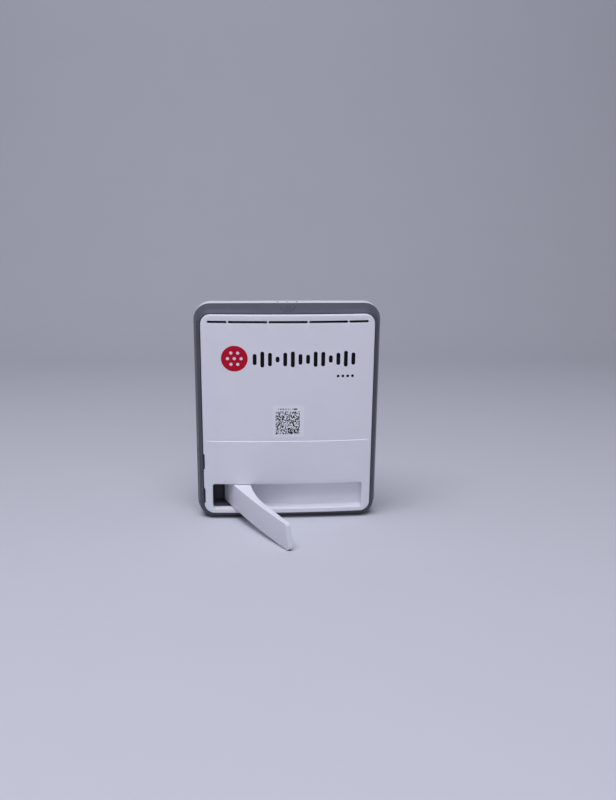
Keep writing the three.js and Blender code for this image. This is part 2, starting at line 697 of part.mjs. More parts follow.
/** The leg and its foot pad, turned open about the pin. */
function legAssembly() {
  const hinge = new THREE.Group();
  hinge.position.set(PIVOT.x, PIVOT.y, 0);
  hinge.rotation.z = -LEG_OPEN;
  const pad = padBlock(0, LEG_LOW - PAD_PROUD, LEG_LOW + PAD_DEPTH);
  for (const piece of [
    part('kickstand_leg', legFolded(), FINISHES.shell),
    part('foot_pad', pad, FINISHES.bumper),
  ]) {
    piece.geometry.translate(-PIVOT.x, -PIVOT.y, 0);
    hinge.add(piece);
  }
  return hinge;
}

/** The whole monitor, leaning on its base, with a point of the base at the origin. */
function launchMonitor() {
  const body = new THREE.Group();
  body.add(...fixedParts());
  body.add(part('power_button', powerButton(), FINISHES.bumper));
  body.add(part('port_door', portDoor(), FINISHES.bumper));
  body.add(legAssembly());
  body.rotation.x = LEAN;
  const onBase = new THREE.Vector3(0, ORIGIN_Y, baseAt(ORIGIN_Y));
  body.position.sub(onBase.applyEuler(body.rotation));
  const root = new THREE.Group();
  root.name = 'launch_monitor';
  root.add(body);
  return root;
}

export default launchMonitor();
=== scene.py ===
"""Portable radar launch monitor: smooth casings, rubber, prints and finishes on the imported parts.

Shapes are drawn in the body's own axes, in millimetres: X to the right seen from behind, Y from the
back panel towards the front, Z up the body. BodyFrame turns them into the shared frame, in metres.
"""

import json
import logging
import math
from collections.abc import Callable, Sequence
from dataclasses import dataclass, field
from enum import Enum

import bmesh
import bpy
from mathutils import Matrix, Vector
from mathutils.geometry import delaunay_2d_cdt


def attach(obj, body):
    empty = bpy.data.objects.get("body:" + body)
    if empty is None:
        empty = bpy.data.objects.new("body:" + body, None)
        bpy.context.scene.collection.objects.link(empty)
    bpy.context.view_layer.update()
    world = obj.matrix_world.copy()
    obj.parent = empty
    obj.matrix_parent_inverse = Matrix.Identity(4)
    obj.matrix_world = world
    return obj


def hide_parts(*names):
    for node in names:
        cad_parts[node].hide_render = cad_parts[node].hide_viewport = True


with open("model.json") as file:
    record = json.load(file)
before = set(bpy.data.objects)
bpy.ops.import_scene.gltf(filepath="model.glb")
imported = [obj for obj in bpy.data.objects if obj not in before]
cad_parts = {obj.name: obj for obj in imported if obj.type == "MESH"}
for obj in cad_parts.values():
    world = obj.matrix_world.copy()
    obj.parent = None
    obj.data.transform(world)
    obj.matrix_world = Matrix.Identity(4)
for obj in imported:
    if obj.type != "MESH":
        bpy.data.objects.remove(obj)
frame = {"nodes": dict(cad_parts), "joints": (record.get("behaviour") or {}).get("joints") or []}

LOG = logging.getLogger("launch_monitor")
MM = 0.001
QUARTER = math.pi / 2


# ---------------------------------------------------------------- frame and driving sizes


@dataclass(frozen=True)
class Sizes:
    """Driving sizes of the monitor in body millimetres, shared by its casings."""

    width: float = 112.0
    height: float = 135.0
    corner: float = 10.0
    crown: float = 2.3
    shell_inset: float = 4.5
    shell_low: float = 4.0
    shell_corner: float = 6.0
    panel_wall: float = 2.2
    step_z: float = 51.7
    step_proud: float = 0.28
    base_edge: float = 1.5
    bumper_front: float = 13.0
    recess_half: float = 46.2
    recess_low: float = 7.0
    recess_high: float = 23.55
    recess_corner: float = 1.5
    pivot_x: float = -28.6
    pivot_y: float = 8.0
    pivot_z: float = 15.7
    leg_open_deg: float = 63.0

    @property
    def half(self) -> float:
        """Half of the widest outline."""
        return self.width / 2

    @property
    def shell_half(self) -> float:
        """Half width of the back panel."""
        return self.half - self.shell_inset

    @property
    def shell_top(self) -> float:
        """Top edge of the back panel."""
        return self.height - self.shell_inset

    def crown_at(self, x: float) -> float:
        """Depth of the crowned back panel at a place along X."""
        return self.crown * (x / self.half) ** 2

    def panel_at(self, x: float, z: float) -> float:
        """Depth of the back panel's surface, with the proud part below its ledge.

        Args:
            x: Place across the panel.
            z: Height up the panel.

        Returns:
            The depth.
        """
        ramp = clamp((self.step_z + LEDGE_HALF - z) / (2 * LEDGE_HALF))
        fade = smooth_step((LEDGE_FADE_END - abs(x)) / (LEDGE_FADE_END - LEDGE_FADE_START))
        return self.crown_at(x) - self.step_proud * ramp * fade


LEDGE_HALF = 0.14
LEDGE_FADE_START = 46.5
LEDGE_FADE_END = 50.5


def clamp(value: float, low: float = 0.0, high: float = 1.0) -> float:
    """A value kept between two limits."""
    return min(high, max(low, value))


def smooth_step(value: float) -> float:
    """A smooth ramp from 0 to 1."""
    t = clamp(value)
    return t * t * (3 - 2 * t)


def arc_steps(count: int) -> list[float]:
    """Angles of a quarter turn from 0 to a right angle, both ends included."""
    return [QUARTER * step / count for step in range(count + 1)]


class BodyFrame:
    """Where the leaning body's own axes stand in the shared frame."""

    def __init__(self, sizes: Sizes) -> None:
        """Reads the lean and the origin from the leg's packed hinge.

        Args:
            sizes: The monitor's driving sizes, which hold the hinge's place in body axes.
        """
        hinge = joint("leg_hinge")
        self.lean = math.atan2(-hinge["axis"][1], hinge["axis"][2])
        turn = Matrix.Rotation(self.lean, 4, "X")
        pivot = Vector((sizes.pivot_x, sizes.pivot_y, sizes.pivot_z)) * MM
        origin = Vector(hinge["pos_m"]) - turn @ pivot
        self.body = Matrix.Translation(origin) @ turn @ Matrix.Scale(MM, 4)
        to_pivot = Matrix.Translation((sizes.pivot_x, sizes.pivot_y, 0))
        opened = Matrix.Rotation(-math.radians(sizes.leg_open_deg), 4, "Z")
        self.leg = self.body @ to_pivot @ opened @ to_pivot.inverted()


def joint(name: str) -> dict:
    """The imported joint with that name."""
    return next(entry for entry in frame["joints"] if entry["name"] == name)


# ---------------------------------------------------------------- mesh helpers


class Cage:
    """Points and faces of a coarse mesh, in body millimetres."""

    def __init__(self) -> None:
        """Starts an empty cage."""
        self.mesh = bmesh.new()

    def ring(self, points: Sequence[Sequence[float]]) -> list[bmesh.types.BMVert]:
        """Adds a ring of points and returns its vertices."""
        return [self.mesh.verts.new(point) for point in points]

    def bridge(self, first: list, second: list, closed: bool = True) -> None:
        """Joins two rings of equal count with quads.

        Args:
            first: One ring of vertices.
            second: The other ring, with as many vertices.
            closed: Whether the last quad joins the ends.
        """
        count = len(first)
        for step in range(count if closed else count - 1):
            after = (step + 1) % count
            self.mesh.faces.new((first[step], first[after], second[after], second[step]))

    def loft(self, rings: Sequence[Sequence[Sequence[float]]], looped: bool = False) -> list[list]:
        """Joins rings one after another.

        Args:
            rings: Rings of points with the same count.
            looped: True joins the last ring to the first one too.

        Returns:
            The rings' vertices.
        """
        made = [self.ring(points) for points in rings]
        for first, second in zip(made, made[1:]):
            self.bridge(first, second)
        if looped:
            self.bridge(made[-1], made[0])
        return made

    def face(self, vertices: Sequence[bmesh.types.BMVert]) -> None:
        """Adds one face."""
        self.mesh.faces.new(vertices)

    def fill(self, outer: Sequence[tuple], holes: Sequence[Sequence[tuple]],
             inner: Sequence[tuple], depth: Callable[[float, float], float]) -> None:
        """Fills a flat region with holes, seen along Y, and gives each point its depth.

        Args:
            outer: The region's edge, as X and Z.
            holes: Edges of the holes.
            inner: Further points inside the region.
            depth: Depth along Y at a place X, Z.
        """
        points = [Vector(point) for point in outer]
        edges = loop_edges(0, len(outer))
        for hole in holes:
            edges += loop_edges(len(points), len(hole))
            points += [Vector(point) for point in hole]
        points += [Vector(p) for p in inner
                   if within(p, outer) and not any(within(p, hole) for hole in holes)]
        flat, _, triangles, _, _, _ = delaunay_2d_cdt(points, edges, [], 0, 1e-6)
        made = self.ring([(p.x, depth(p.x, p.y), p.y) for p in flat])
        for triangle in triangles:
            middle = sum((flat[index] for index in triangle), Vector((0, 0))) / 3
            if within(middle, outer) and not any(within(middle, hole) for hole in holes):
                self.face([made[index] for index in triangle])

    def finish(self, name: str, place: Matrix, facing: Vector | None = None,
               merge_mm: float = 0.002) -> bpy.types.Object:
        """Merges doubled points, turns the faces outwards and makes the object.

        Args:
            name: The new object's name.
            place: Turns body millimetres into the shared frame.
            facing: Direction that an open skin faces. None for a closed body.
            merge_mm: Points closer than this are one.

        Returns:
            The object, at the origin with its place in its mesh.
        """
        bmesh.ops.remove_doubles(self.mesh, verts=self.mesh.verts, dist=merge_mm)
        bmesh.ops.dissolve_degenerate(self.mesh, edges=self.mesh.edges, dist=merge_mm / 2)
        bmesh.ops.recalc_face_normals(self.mesh, faces=self.mesh.faces)
        if facing is not None:
            flow = sum((f.normal * f.calc_area() for f in self.mesh.faces), Vector())
            if flow.dot(facing) < 0:
                bmesh.ops.reverse_faces(self.mesh, faces=self.mesh.faces)
        data = bpy.data.meshes.new(name)
        self.mesh.to_mesh(data)
        self.mesh.free()
        data.transform(place)
        obj = bpy.data.objects.new(name, data)
        bpy.context.scene.collection.objects.link(obj)
        return obj


def loop_edges(start: int, count: int) -> list[tuple[int, int]]:
    """Edges round a loop of points that starts at an index."""
    return [(start + step, start + (step + 1) % count) for step in range(count)]


def within(point: Sequence[float], polygon: Sequence[Sequence[float]]) -> bool:
    """True where a flat point lies inside a polygon.

    Args:
        point: The point, whose first two numbers count.
        polygon: The corners of the polygon, in order.

    Returns:
        Whether the point is inside.
    """
    x, y = point[0], point[1]
    inside = False
    for (ax, ay), (bx, by) in zip(polygon, [*polygon[1:], polygon[0]]):
        if (ay > y) != (by > y) and x < (bx - ax) * (y - ay) / (by - ay) + ax:
            inside = not inside
    return inside


@dataclass(frozen=True)
class Outline:
    """A rounded rectangle seen along Y, with the same points at every offset."""

    half: float
    low: float
    high: float
    radius: float
    across: int = 28
    up: int = 24
    arc: int = 8
    middle: float = 0.0

    def points(self, inset: float = 0.0) -> list[tuple[float, float]]:
        """Points round the outline, moved in by an inset, as X and Z.

        Args:
            inset: How far the outline is moved in.

        Returns:
            The points, in order round the outline.
        """
        span = self.half - self.radius
        low, high = self.low + self.radius, self.high - self.radius
        radius = self.radius - inset
        corners = [(span, low, -QUARTER), (span, high, 0.0), (-span, high, QUARTER),
                   (-span, low, math.pi)]
        found = []
        for index, (x, z, start) in enumerate(corners):
            for angle in arc_steps(self.arc):
                found.append((x + radius * math.cos(start + angle),
                              z + radius * math.sin(start + angle)))
            nx, nz, begin = corners[(index + 1) % len(corners)]
            ax, az = found[-1]
            bx, bz = nx + radius * math.cos(begin), nz + radius * math.sin(begin)
            count = self.up if index % 2 == 0 else self.across
            for step in range(1, count):
                share = step / count
                found.append((ax + (bx - ax) * share, az + (bz - az) * share))
        return [(x + self.middle, z) for x, z in found]


def add_modifier(obj: bpy.types.Object, kind: str, **settings: object) -> bpy.types.Modifier:
    """Adds a modifier with its settings and returns it.

    Args:
        obj: The piece.
        kind: The modifier's type.
        **settings: The modifier's own properties.

    Returns:
        The modifier.
    """
    modifier = obj.modifiers.new(kind.title().replace("_", ""), kind)
    for key, value in settings.items():
        setattr(modifier, key, value)
    return modifier


def soften(obj: bpy.types.Object, width_mm: float, segments: int = 3,
           angle_deg: float = 30) -> None:
    """Rounds the piece's sharp edges with a live Bevel."""
    add_modifier(obj, "BEVEL", width=width_mm * MM, segments=segments, limit_method="ANGLE",
                 angle_limit=math.radians(angle_deg), harden_normals=False)


def bake(obj: bpy.types.Object) -> None:
    """Applies the piece's modifiers to its mesh.

    Args:
        obj: The piece.
    """
    bpy.context.view_layer.update()
    graph = bpy.context.evaluated_depsgraph_get()
    made = bpy.data.meshes.new_from_object(obj.evaluated_get(graph))
    old = obj.data
    obj.modifiers.clear()
    obj.data = made
    bpy.data.meshes.remove(old)
    made.name = obj.name


def carve(obj: bpy.types.Object, tool: bpy.types.Object, operation: str = "DIFFERENCE") -> None:
    """Cuts a piece with a helper, or keeps what both share, and removes the helper.

    Args:
        obj: The piece that is cut.
        tool: The helper, which is removed.
        operation: The Boolean operation.
    """
    add_modifier(obj, "BOOLEAN", object=tool, operation=operation, solver="EXACT")
    bake(obj)
    data = tool.data
    bpy.data.objects.remove(tool)
    bpy.data.meshes.remove(data)


def shade(obj: bpy.types.Object, sharp_deg: float = 35) -> None:
    """Smooths the shading except across sharp edges.

    Args:
        obj: The piece.
        sharp_deg: Edges sharper than this stay sharp.
    """
    for polygon in obj.data.polygons:
        polygon.use_smooth = True
    obj.data.set_sharp_from_angle(angle=math.radians(sharp_deg))


def block(name: str, low: Sequence[float], high: Sequence[float],
          place: Matrix) -> bpy.types.Object:
    """A box between two corners in body millimetres.

    Args:
        name: The piece's name.
        low: The corner with the lowest values.
        high: The corner with the highest values.
        place: Turns the box's millimetres into the shared frame.

    Returns:
        The box.
    """
    cage = Cage()
    made = bmesh.ops.create_cube(cage.mesh, size=1)
    for vertex in made["verts"]:
        vertex.co = [(a + b) / 2 + c * (b - a) for a, b, c in zip(low, high, vertex.co)]
    return cage.finish(name, place)


def turned(name: str, profile: Sequence[tuple[float, float]], place: Matrix,
           steps: int = 48) -> bpy.types.Object:
    """A turned piece made by Screw at its own origin, then put in place.

    Args:
        name: The new object's name.
        profile: Radius and height pairs in millimetres, from top to bottom.
        place: Turns the piece's own millimetres into the shared frame.
        steps: Number of steps round the axis.

    Returns:
        The object, at the origin with its place in its mesh.
    """
    data = bpy.data.meshes.new(name)
    points = [(radius, 0.0, height) for radius, height in profile]
    data.from_pydata(points, [(step, step + 1) for step in range(len(points) - 1)], [])
    obj = bpy.data.objects.new(name, data)
    bpy.context.scene.collection.objects.link(obj)
    add_modifier(obj, "SCREW", steps=steps, render_steps=steps, use_merge_vertices=True,
                 merge_threshold=0.002, use_normal_calculate=False)
    bake(obj)
    obj.data.transform(place)
    return obj


def join(name: str, pieces: Sequence[bpy.types.Object]) -> bpy.types.Object:
    """Several mesh objects as one.

    Args:
        name: The new piece's name.
        pieces: The pieces, which are removed.

    Returns:
        The new piece.
    """
    mesh = bmesh.new()
    for piece in pieces:
        mesh.from_mesh(piece.data)
    data = bpy.data.meshes.new(name)
    mesh.to_mesh(data)
    mesh.free()
    for piece in pieces:
        old = piece.data
        bpy.data.objects.remove(piece)
        bpy.data.meshes.remove(old)
    obj = bpy.data.objects.new(name, data)
    bpy.context.scene.collection.objects.link(obj)
    return obj


# ---------------------------------------------------------------- finishes


def linear(colour: str) -> tuple[float, float, float, float]:
    """An sRGB hex colour as linear values with full alpha.

    Args:
        colour: The colour as # and six hex digits.

    Returns:
        Red, green, blue and alpha.
    """
    channels = []
    for start in (1, 3, 5):
        value = int(colour[start:start + 2], 16) / 255
        channels.append(value / 12.92 if value <= 0.04045 else ((value + 0.055) / 1.055) ** 2.4)
    return (*channels, 1.0)


def add_node(tree: bpy.types.NodeTree, kind: str, inputs: dict | None = None,
             **settings: object) -> bpy.types.Node:
    """Adds a node with its settings, values and links.

    Args:
        tree: The material's node tree.
        kind: The node's type.
        inputs: Input name or index to a value, or to the output socket that it is linked from.
        **settings: The node's own properties.

    Returns:
        The node.
    """
    node = tree.nodes.new(kind)
    for key, value in settings.items():
        setattr(node, key, value)
    for key, value in (inputs or {}).items():
        if isinstance(value, bpy.types.NodeSocket):
            tree.links.new(value, node.inputs[key])
        else:
            node.inputs[key].default_value = value
    return node


@dataclass(frozen=True)
class Finish:
    """A moulded surface: base colour, soft mottling, roughness variation and fine grain."""

    name: str
    colour: str
    roughness: float
    ior: float = 1.5
    metallic: float = 0.0
    grain_mm: float = 0.5
    grain_depth_mm: float = 0.01
    mottle_mm: float = 18.0
    mottle: float = 0.03
    roughness_spread: float = 0.06
    specular: float = 0.5
    sheen: float = 0.0
    coat: float = 0.0
    lean: float = 0.0

    def make(self) -> bpy.types.Material:
        """Builds the material and returns it.

        Returns:
            The material.
        """
        material = bpy.data.materials.new(self.name)
        material.use_nodes = True
        tree = material.node_tree
        tree.nodes.clear()
        place = self.coordinates(tree)
        colour = self.mottled(tree, place, self.pattern(tree, place))
        grain = self.noise(tree, place, self.grain_mm, 3.0)
        height = self.height(tree, place, grain)
        bump = add_node(tree, "ShaderNodeBump", {
            "Strength": 1.0, "Distance": self.grain_depth_mm * MM, "Height": height})
        shader = add_node(tree, "ShaderNodeBsdfPrincipled", {
            "Base Color": colour, "Roughness": self.rough(tree, place), "Metallic": self.metallic,
            "Specular IOR Level": self.specular, "Sheen Weight": self.sheen,
            "Sheen Roughness": 0.4, "Coat Weight": self.coat, "Coat Roughness": 0.15,
            "Normal": bump.outputs["Normal"]})
        if self.metallic < 1:
            shader.inputs["IOR"].default_value = self.ior
        add_node(tree, "ShaderNodeOutputMaterial", {"Surface": shader.outputs["BSDF"]})
        return material

    def coordinates(self, tree: bpy.types.NodeTree) -> bpy.types.NodeSocket:
        """Object coordinates turned upright, so that Z runs up the leaning body.

        Args:
            tree: The material's node tree.

        Returns:
            The coordinates.
        """
        source = add_node(tree, "ShaderNodeTexCoord")
        mapping = add_node(tree, "ShaderNodeMapping", {
            "Vector": source.outputs["Object"], "Rotation": (-self.lean, 0.0, 0.0)})
        return mapping.outputs["Vector"]

    def noise(self, tree: bpy.types.NodeTree, place: bpy.types.NodeSocket, size_mm: float,
              detail: float) -> bpy.types.NodeSocket:
        """Noise whose features are about a size in millimetres.

        Args:
            tree: The material's node tree.
            place: Socket that gives the place on the piece.
            size_mm: Size of the features.
            detail: How many finer layers are added.

        Returns:
            The noise.
        """
        node = add_node(tree, "ShaderNodeTexNoise", {
            "Vector": place, "Scale": 1 / (size_mm * MM), "Detail": detail, "Roughness": 0.5})
        return node.outputs["Fac"]

    def pattern(self, tree: bpy.types.NodeTree,
                place: bpy.types.NodeSocket) -> bpy.types.NodeSocket:
        """The colour before mottling: plain here."""
        return add_node(tree, "ShaderNodeRGB", {}).outputs[0]

    def mottled(self, tree: bpy.types.NodeTree, place: bpy.types.NodeSocket,
                colour: bpy.types.NodeSocket) -> bpy.types.NodeSocket:
        """The colour with soft patches a little lighter and darker.

        Args:
            tree: The material's node tree.
            place: Socket that gives the place on the piece.
            colour: The colour before the patches.

        Returns:
            The colour with its patches.
        """
        if colour.node.bl_idname == "ShaderNodeRGB":
            colour.default_value = linear(self.colour)
        patches = self.noise(tree, place, self.mottle_mm, 4.0)
        amount = add_node(tree, "ShaderNodeMapRange", {
            "Value": patches, "From Min": 0.3, "From Max": 0.7,
            "To Min": 1 - self.mottle, "To Max": 1 + self.mottle})
        scaled = add_node(tree, "ShaderNodeVectorMath", {
            0: colour, "Scale": amount.outputs["Result"]}, operation="SCALE")
        return scaled.outputs["Vector"]

    def rough(self, tree: bpy.types.NodeTree, place: bpy.types.NodeSocket) -> bpy.types.NodeSocket:
        """Roughness with handling marks and grain in it.

        Args:
            tree: The material's node tree.
            place: Socket that gives the place on the piece.

        Returns:
            The roughness.
        """
        patches = self.noise(tree, place, self.mottle_mm / 4, 5.0)
        spread = add_node(tree, "ShaderNodeMapRange", {
            "Value": patches, "From Min": 0.3, "From Max": 0.7,
            "To Min": self.roughness - self.roughness_spread,
            "To Max": self.roughness + self.roughness_spread})
        return spread.outputs["Result"]

    def height(self, tree: bpy.types.NodeTree, place: bpy.types.NodeSocket,
               grain: bpy.types.NodeSocket) -> bpy.types.NodeSocket:
        """Height for the bump: the fine grain alone here."""
        return grain


def two_colours(tree: bpy.types.NodeTree, mask: bpy.types.NodeSocket,
                first: bpy.types.NodeSocket | tuple, second: tuple) -> bpy.types.NodeSocket:
    """The first colour where the mask is 0, and the second where it is 1."""
    mix = add_node(tree, "ShaderNodeMix", {0: mask, 6: first, 7: second}, data_type="RGBA")
    return mix.outputs[2]


@dataclass(frozen=True)
class CellCode(Finish):
    """Printed polyester label: random square cells that hold no message, and a row of ticks."""

    ink: str = "#15161c"
    origin_mm: tuple[float, float, float] = (0.0, 0.0, 0.0)
    low_x: float = -7.4
    low_z: float = 56.4
    cell: float = 0.52
    cells: int = 28
    tick_z: float = 72.0
    tick_height: float = 0.9

    def coordinates(self, tree: bpy.types.NodeTree) -> bpy.types.NodeSocket:
        """Upright coordinates, measured from the body's own origin.

        Args:
            tree: The material's node tree.

        Returns:
            The coordinates.
        """
        source = add_node(tree, "ShaderNodeTexCoord")
        mapping = add_node(tree, "ShaderNodeMapping", {
            "Vector": source.outputs["Object"], "Rotation": (-self.lean, 0.0, 0.0),
            "Location": tuple(-value * MM for value in self.origin_mm)})
        return mapping.outputs["Vector"]

    def pattern(self, tree: bpy.types.NodeTree,
                place: bpy.types.NodeSocket) -> bpy.types.NodeSocket:
        """White film with dark cells inside the square, and ticks above it.

        Args:
            tree: The material's node tree.
            place: Socket that gives the place on the piece.

        Returns:
            The colour.
        """
        size = self.cells * self.cell
        cells = self.random_cells(tree, place, (self.cell, self.cell), 0.5)
        square = self.window(tree, place, (self.low_x, self.low_x + size),
                             (self.low_z, self.low_z + size))
        ticks = self.random_cells(tree, place, (0.34, 40.0), 0.45)
        row = self.window(tree, place, (self.low_x + 1.5, self.low_x + size - 1.5),
                          (self.tick_z, self.tick_z + self.tick_height))
        code = add_node(tree, "ShaderNodeMath", {0: cells, 1: square}, operation="MULTIPLY")
        line = add_node(tree, "ShaderNodeMath", {0: ticks, 1: row}, operation="MULTIPLY")
        both = add_node(tree, "ShaderNodeMath", {0: code.outputs[0], 1: line.outputs[0]},
                        operation="MAXIMUM")
        return two_colours(tree, both.outputs[0], linear(self.colour), linear(self.ink))

    def random_cells(self, tree: bpy.types.NodeTree, place: bpy.types.NodeSocket,
                     size: tuple[float, float], share: float) -> bpy.types.NodeSocket:
        """1 in a random share of rectangular cells along X and Z, and 0 in the rest.

        Args:
            tree: The material's node tree.
            place: Socket that gives the place on the piece.
            size: Width and height of a cell, in millimetres.
            share: The share of cells that are 1.

        Returns:
            The mask.
        """
        shifted = add_node(tree, "ShaderNodeVectorMath", {
            0: place, 1: (self.low_x * MM, 0.0, self.low_z * MM)}, operation="SUBTRACT")
        scaled = add_node(tree, "ShaderNodeVectorMath", {
            0: shifted.outputs[0], 1: (1 / (size[0] * MM), 0.0, 1 / (size[1] * MM))},
            operation="MULTIPLY")
        floored = add_node(tree, "ShaderNodeVectorMath", {0: scaled.outputs[0]}, operation="FLOOR")
        chance = add_node(tree, "ShaderNodeTexWhiteNoise", {"Vector": floored.outputs[0]})
        mask = add_node(tree, "ShaderNodeMath", {0: chance.outputs["Value"], 1: share},
                        operation="LESS_THAN")
        return mask.outputs[0]

    def window(self, tree: bpy.types.NodeTree, place: bpy.types.NodeSocket,
               along_x: tuple[float, float], along_z: tuple[float, float]) -> bpy.types.NodeSocket:
        """1 inside a rectangle in X and Z, given in millimetres, and 0 outside it.

        Args:
            tree: The material's node tree.
            place: Socket that gives the place on the piece.
            along_x: Lowest and highest X, in millimetres.
            along_z: Lowest and highest Z, in millimetres.

        Returns:
            The mask.
        """
        parts = add_node(tree, "ShaderNodeSeparateXYZ", {"Vector": place})
        mask = None
        for axis, (low, high) in (("X", along_x), ("Z", along_z)):
            for limit, operation in ((low, "GREATER_THAN"), (high, "LESS_THAN")):
                test = add_node(tree, "ShaderNodeMath", {
                    0: parts.outputs[axis], 1: limit * MM}, operation=operation).outputs[0]
                mask = test if mask is None else add_node(tree, "ShaderNodeMath", {
                    0: mask, 1: test}, operation="MULTIPLY").outputs[0]
        return mask


@dataclass(frozen=True)
class CircuitBoard(Finish):
    """Glass-epoxy board under green solder resist, with raised tracks and gold pads."""

    track: str = "#2f7a50"
    pad: str = "#c9a14a"
    track_mm: float = 3.2
    pad_mm: float = 5.0

    def cell_edges(self, tree: bpy.types.NodeTree,
                   place: bpy.types.NodeSocket) -> bpy.types.NodeSocket:
        """1 on the tracks, which run round irregular fields of copper.

        Args:
            tree: The material's node tree.
            place: Socket that gives the place on the piece.

        Returns:
            The mask.
        """
        fields = add_node(tree, "ShaderNodeTexVoronoi", {
            "Vector": place, "Scale": 1 / (self.track_mm * MM), "Randomness": 0.85},
            feature="DISTANCE_TO_EDGE")
        test = add_node(tree, "ShaderNodeMath", {0: fields.outputs["Distance"], 1: 0.07},
                        operation="LESS_THAN")
        return test.outputs[0]

    def pattern(self, tree: bpy.types.NodeTree,
                place: bpy.types.NodeSocket) -> bpy.types.NodeSocket:
        """Resist, tracks under it and pads through it.

        Args:
            tree: The material's node tree.
            place: Socket that gives the place on the piece.

        Returns:
            The colour.
        """
        pads = add_node(tree, "ShaderNodeTexVoronoi", {
            "Vector": place, "Scale": 1 / (self.pad_mm * MM), "Randomness": 0.35}, feature="F1")
        pad = add_node(tree, "ShaderNodeMath", {0: pads.outputs["Distance"], 1: 0.16},
                       operation="LESS_THAN")
        track = self.cell_edges(tree, place)
        tracks = two_colours(tree, track, linear(self.colour), linear(self.track))
        return two_colours(tree, pad.outputs[0], tracks, linear(self.pad))

    def height(self, tree: bpy.types.NodeTree, place: bpy.types.NodeSocket,
               grain: bpy.types.NodeSocket) -> bpy.types.NodeSocket:
        """Tracks stand up under the resist.

        Args:
            tree: The material's node tree.
            place: Socket that gives the place on the piece.
            grain: The fine grain.

        Returns:
            The height.
        """
        track = self.cell_edges(tree, place)
        total = add_node(tree, "ShaderNodeMath", {0: track, 1: grain}, operation="ADD")
        return total.outputs[0]


@dataclass(frozen=True)
class BrushedMetal(Finish):
    """Sheet or bar metal with fine lines drawn along X."""

    stretch: float = 0.04

    def noise(self, tree: bpy.types.NodeTree, place: bpy.types.NodeSocket, size_mm: float,
              detail: float) -> bpy.types.NodeSocket:
        """Noise drawn out along X into brushing lines."""
        drawn = add_node(tree, "ShaderNodeMapping", {
            "Vector": place, "Scale": (self.stretch, 1, 1)})
        return super().noise(tree, drawn.outputs["Vector"], size_mm, detail)


@dataclass(frozen=True)
class Perforated(Finish):
    """Thin sheet with rows of round holes, drawn as dark dots."""

    hole: str = "#050507"
    pitch_mm: float = 0.7

    def dots(self, tree: bpy.types.NodeTree, place: bpy.types.NodeSocket) -> bpy.types.NodeSocket:
        """1 inside a hole and 0 on the sheet.

        Args:
            tree: The material's node tree.
            place: Socket that gives the place on the piece.

        Returns:
            The mask.
        """
        cells = add_node(tree, "ShaderNodeTexVoronoi", {
            "Vector": place, "Scale": 1 / (self.pitch_mm * MM), "Randomness": 0.0}, feature="F1")
        test = add_node(tree, "ShaderNodeMath", {0: cells.outputs["Distance"], 1: 0.34},
                        operation="LESS_THAN")
        return test.outputs[0]

    def pattern(self, tree: bpy.types.NodeTree,
                place: bpy.types.NodeSocket) -> bpy.types.NodeSocket:
        """Sheet with dark holes."""
        return two_colours(tree, self.dots(tree, place), linear(self.colour), linear(self.hole))


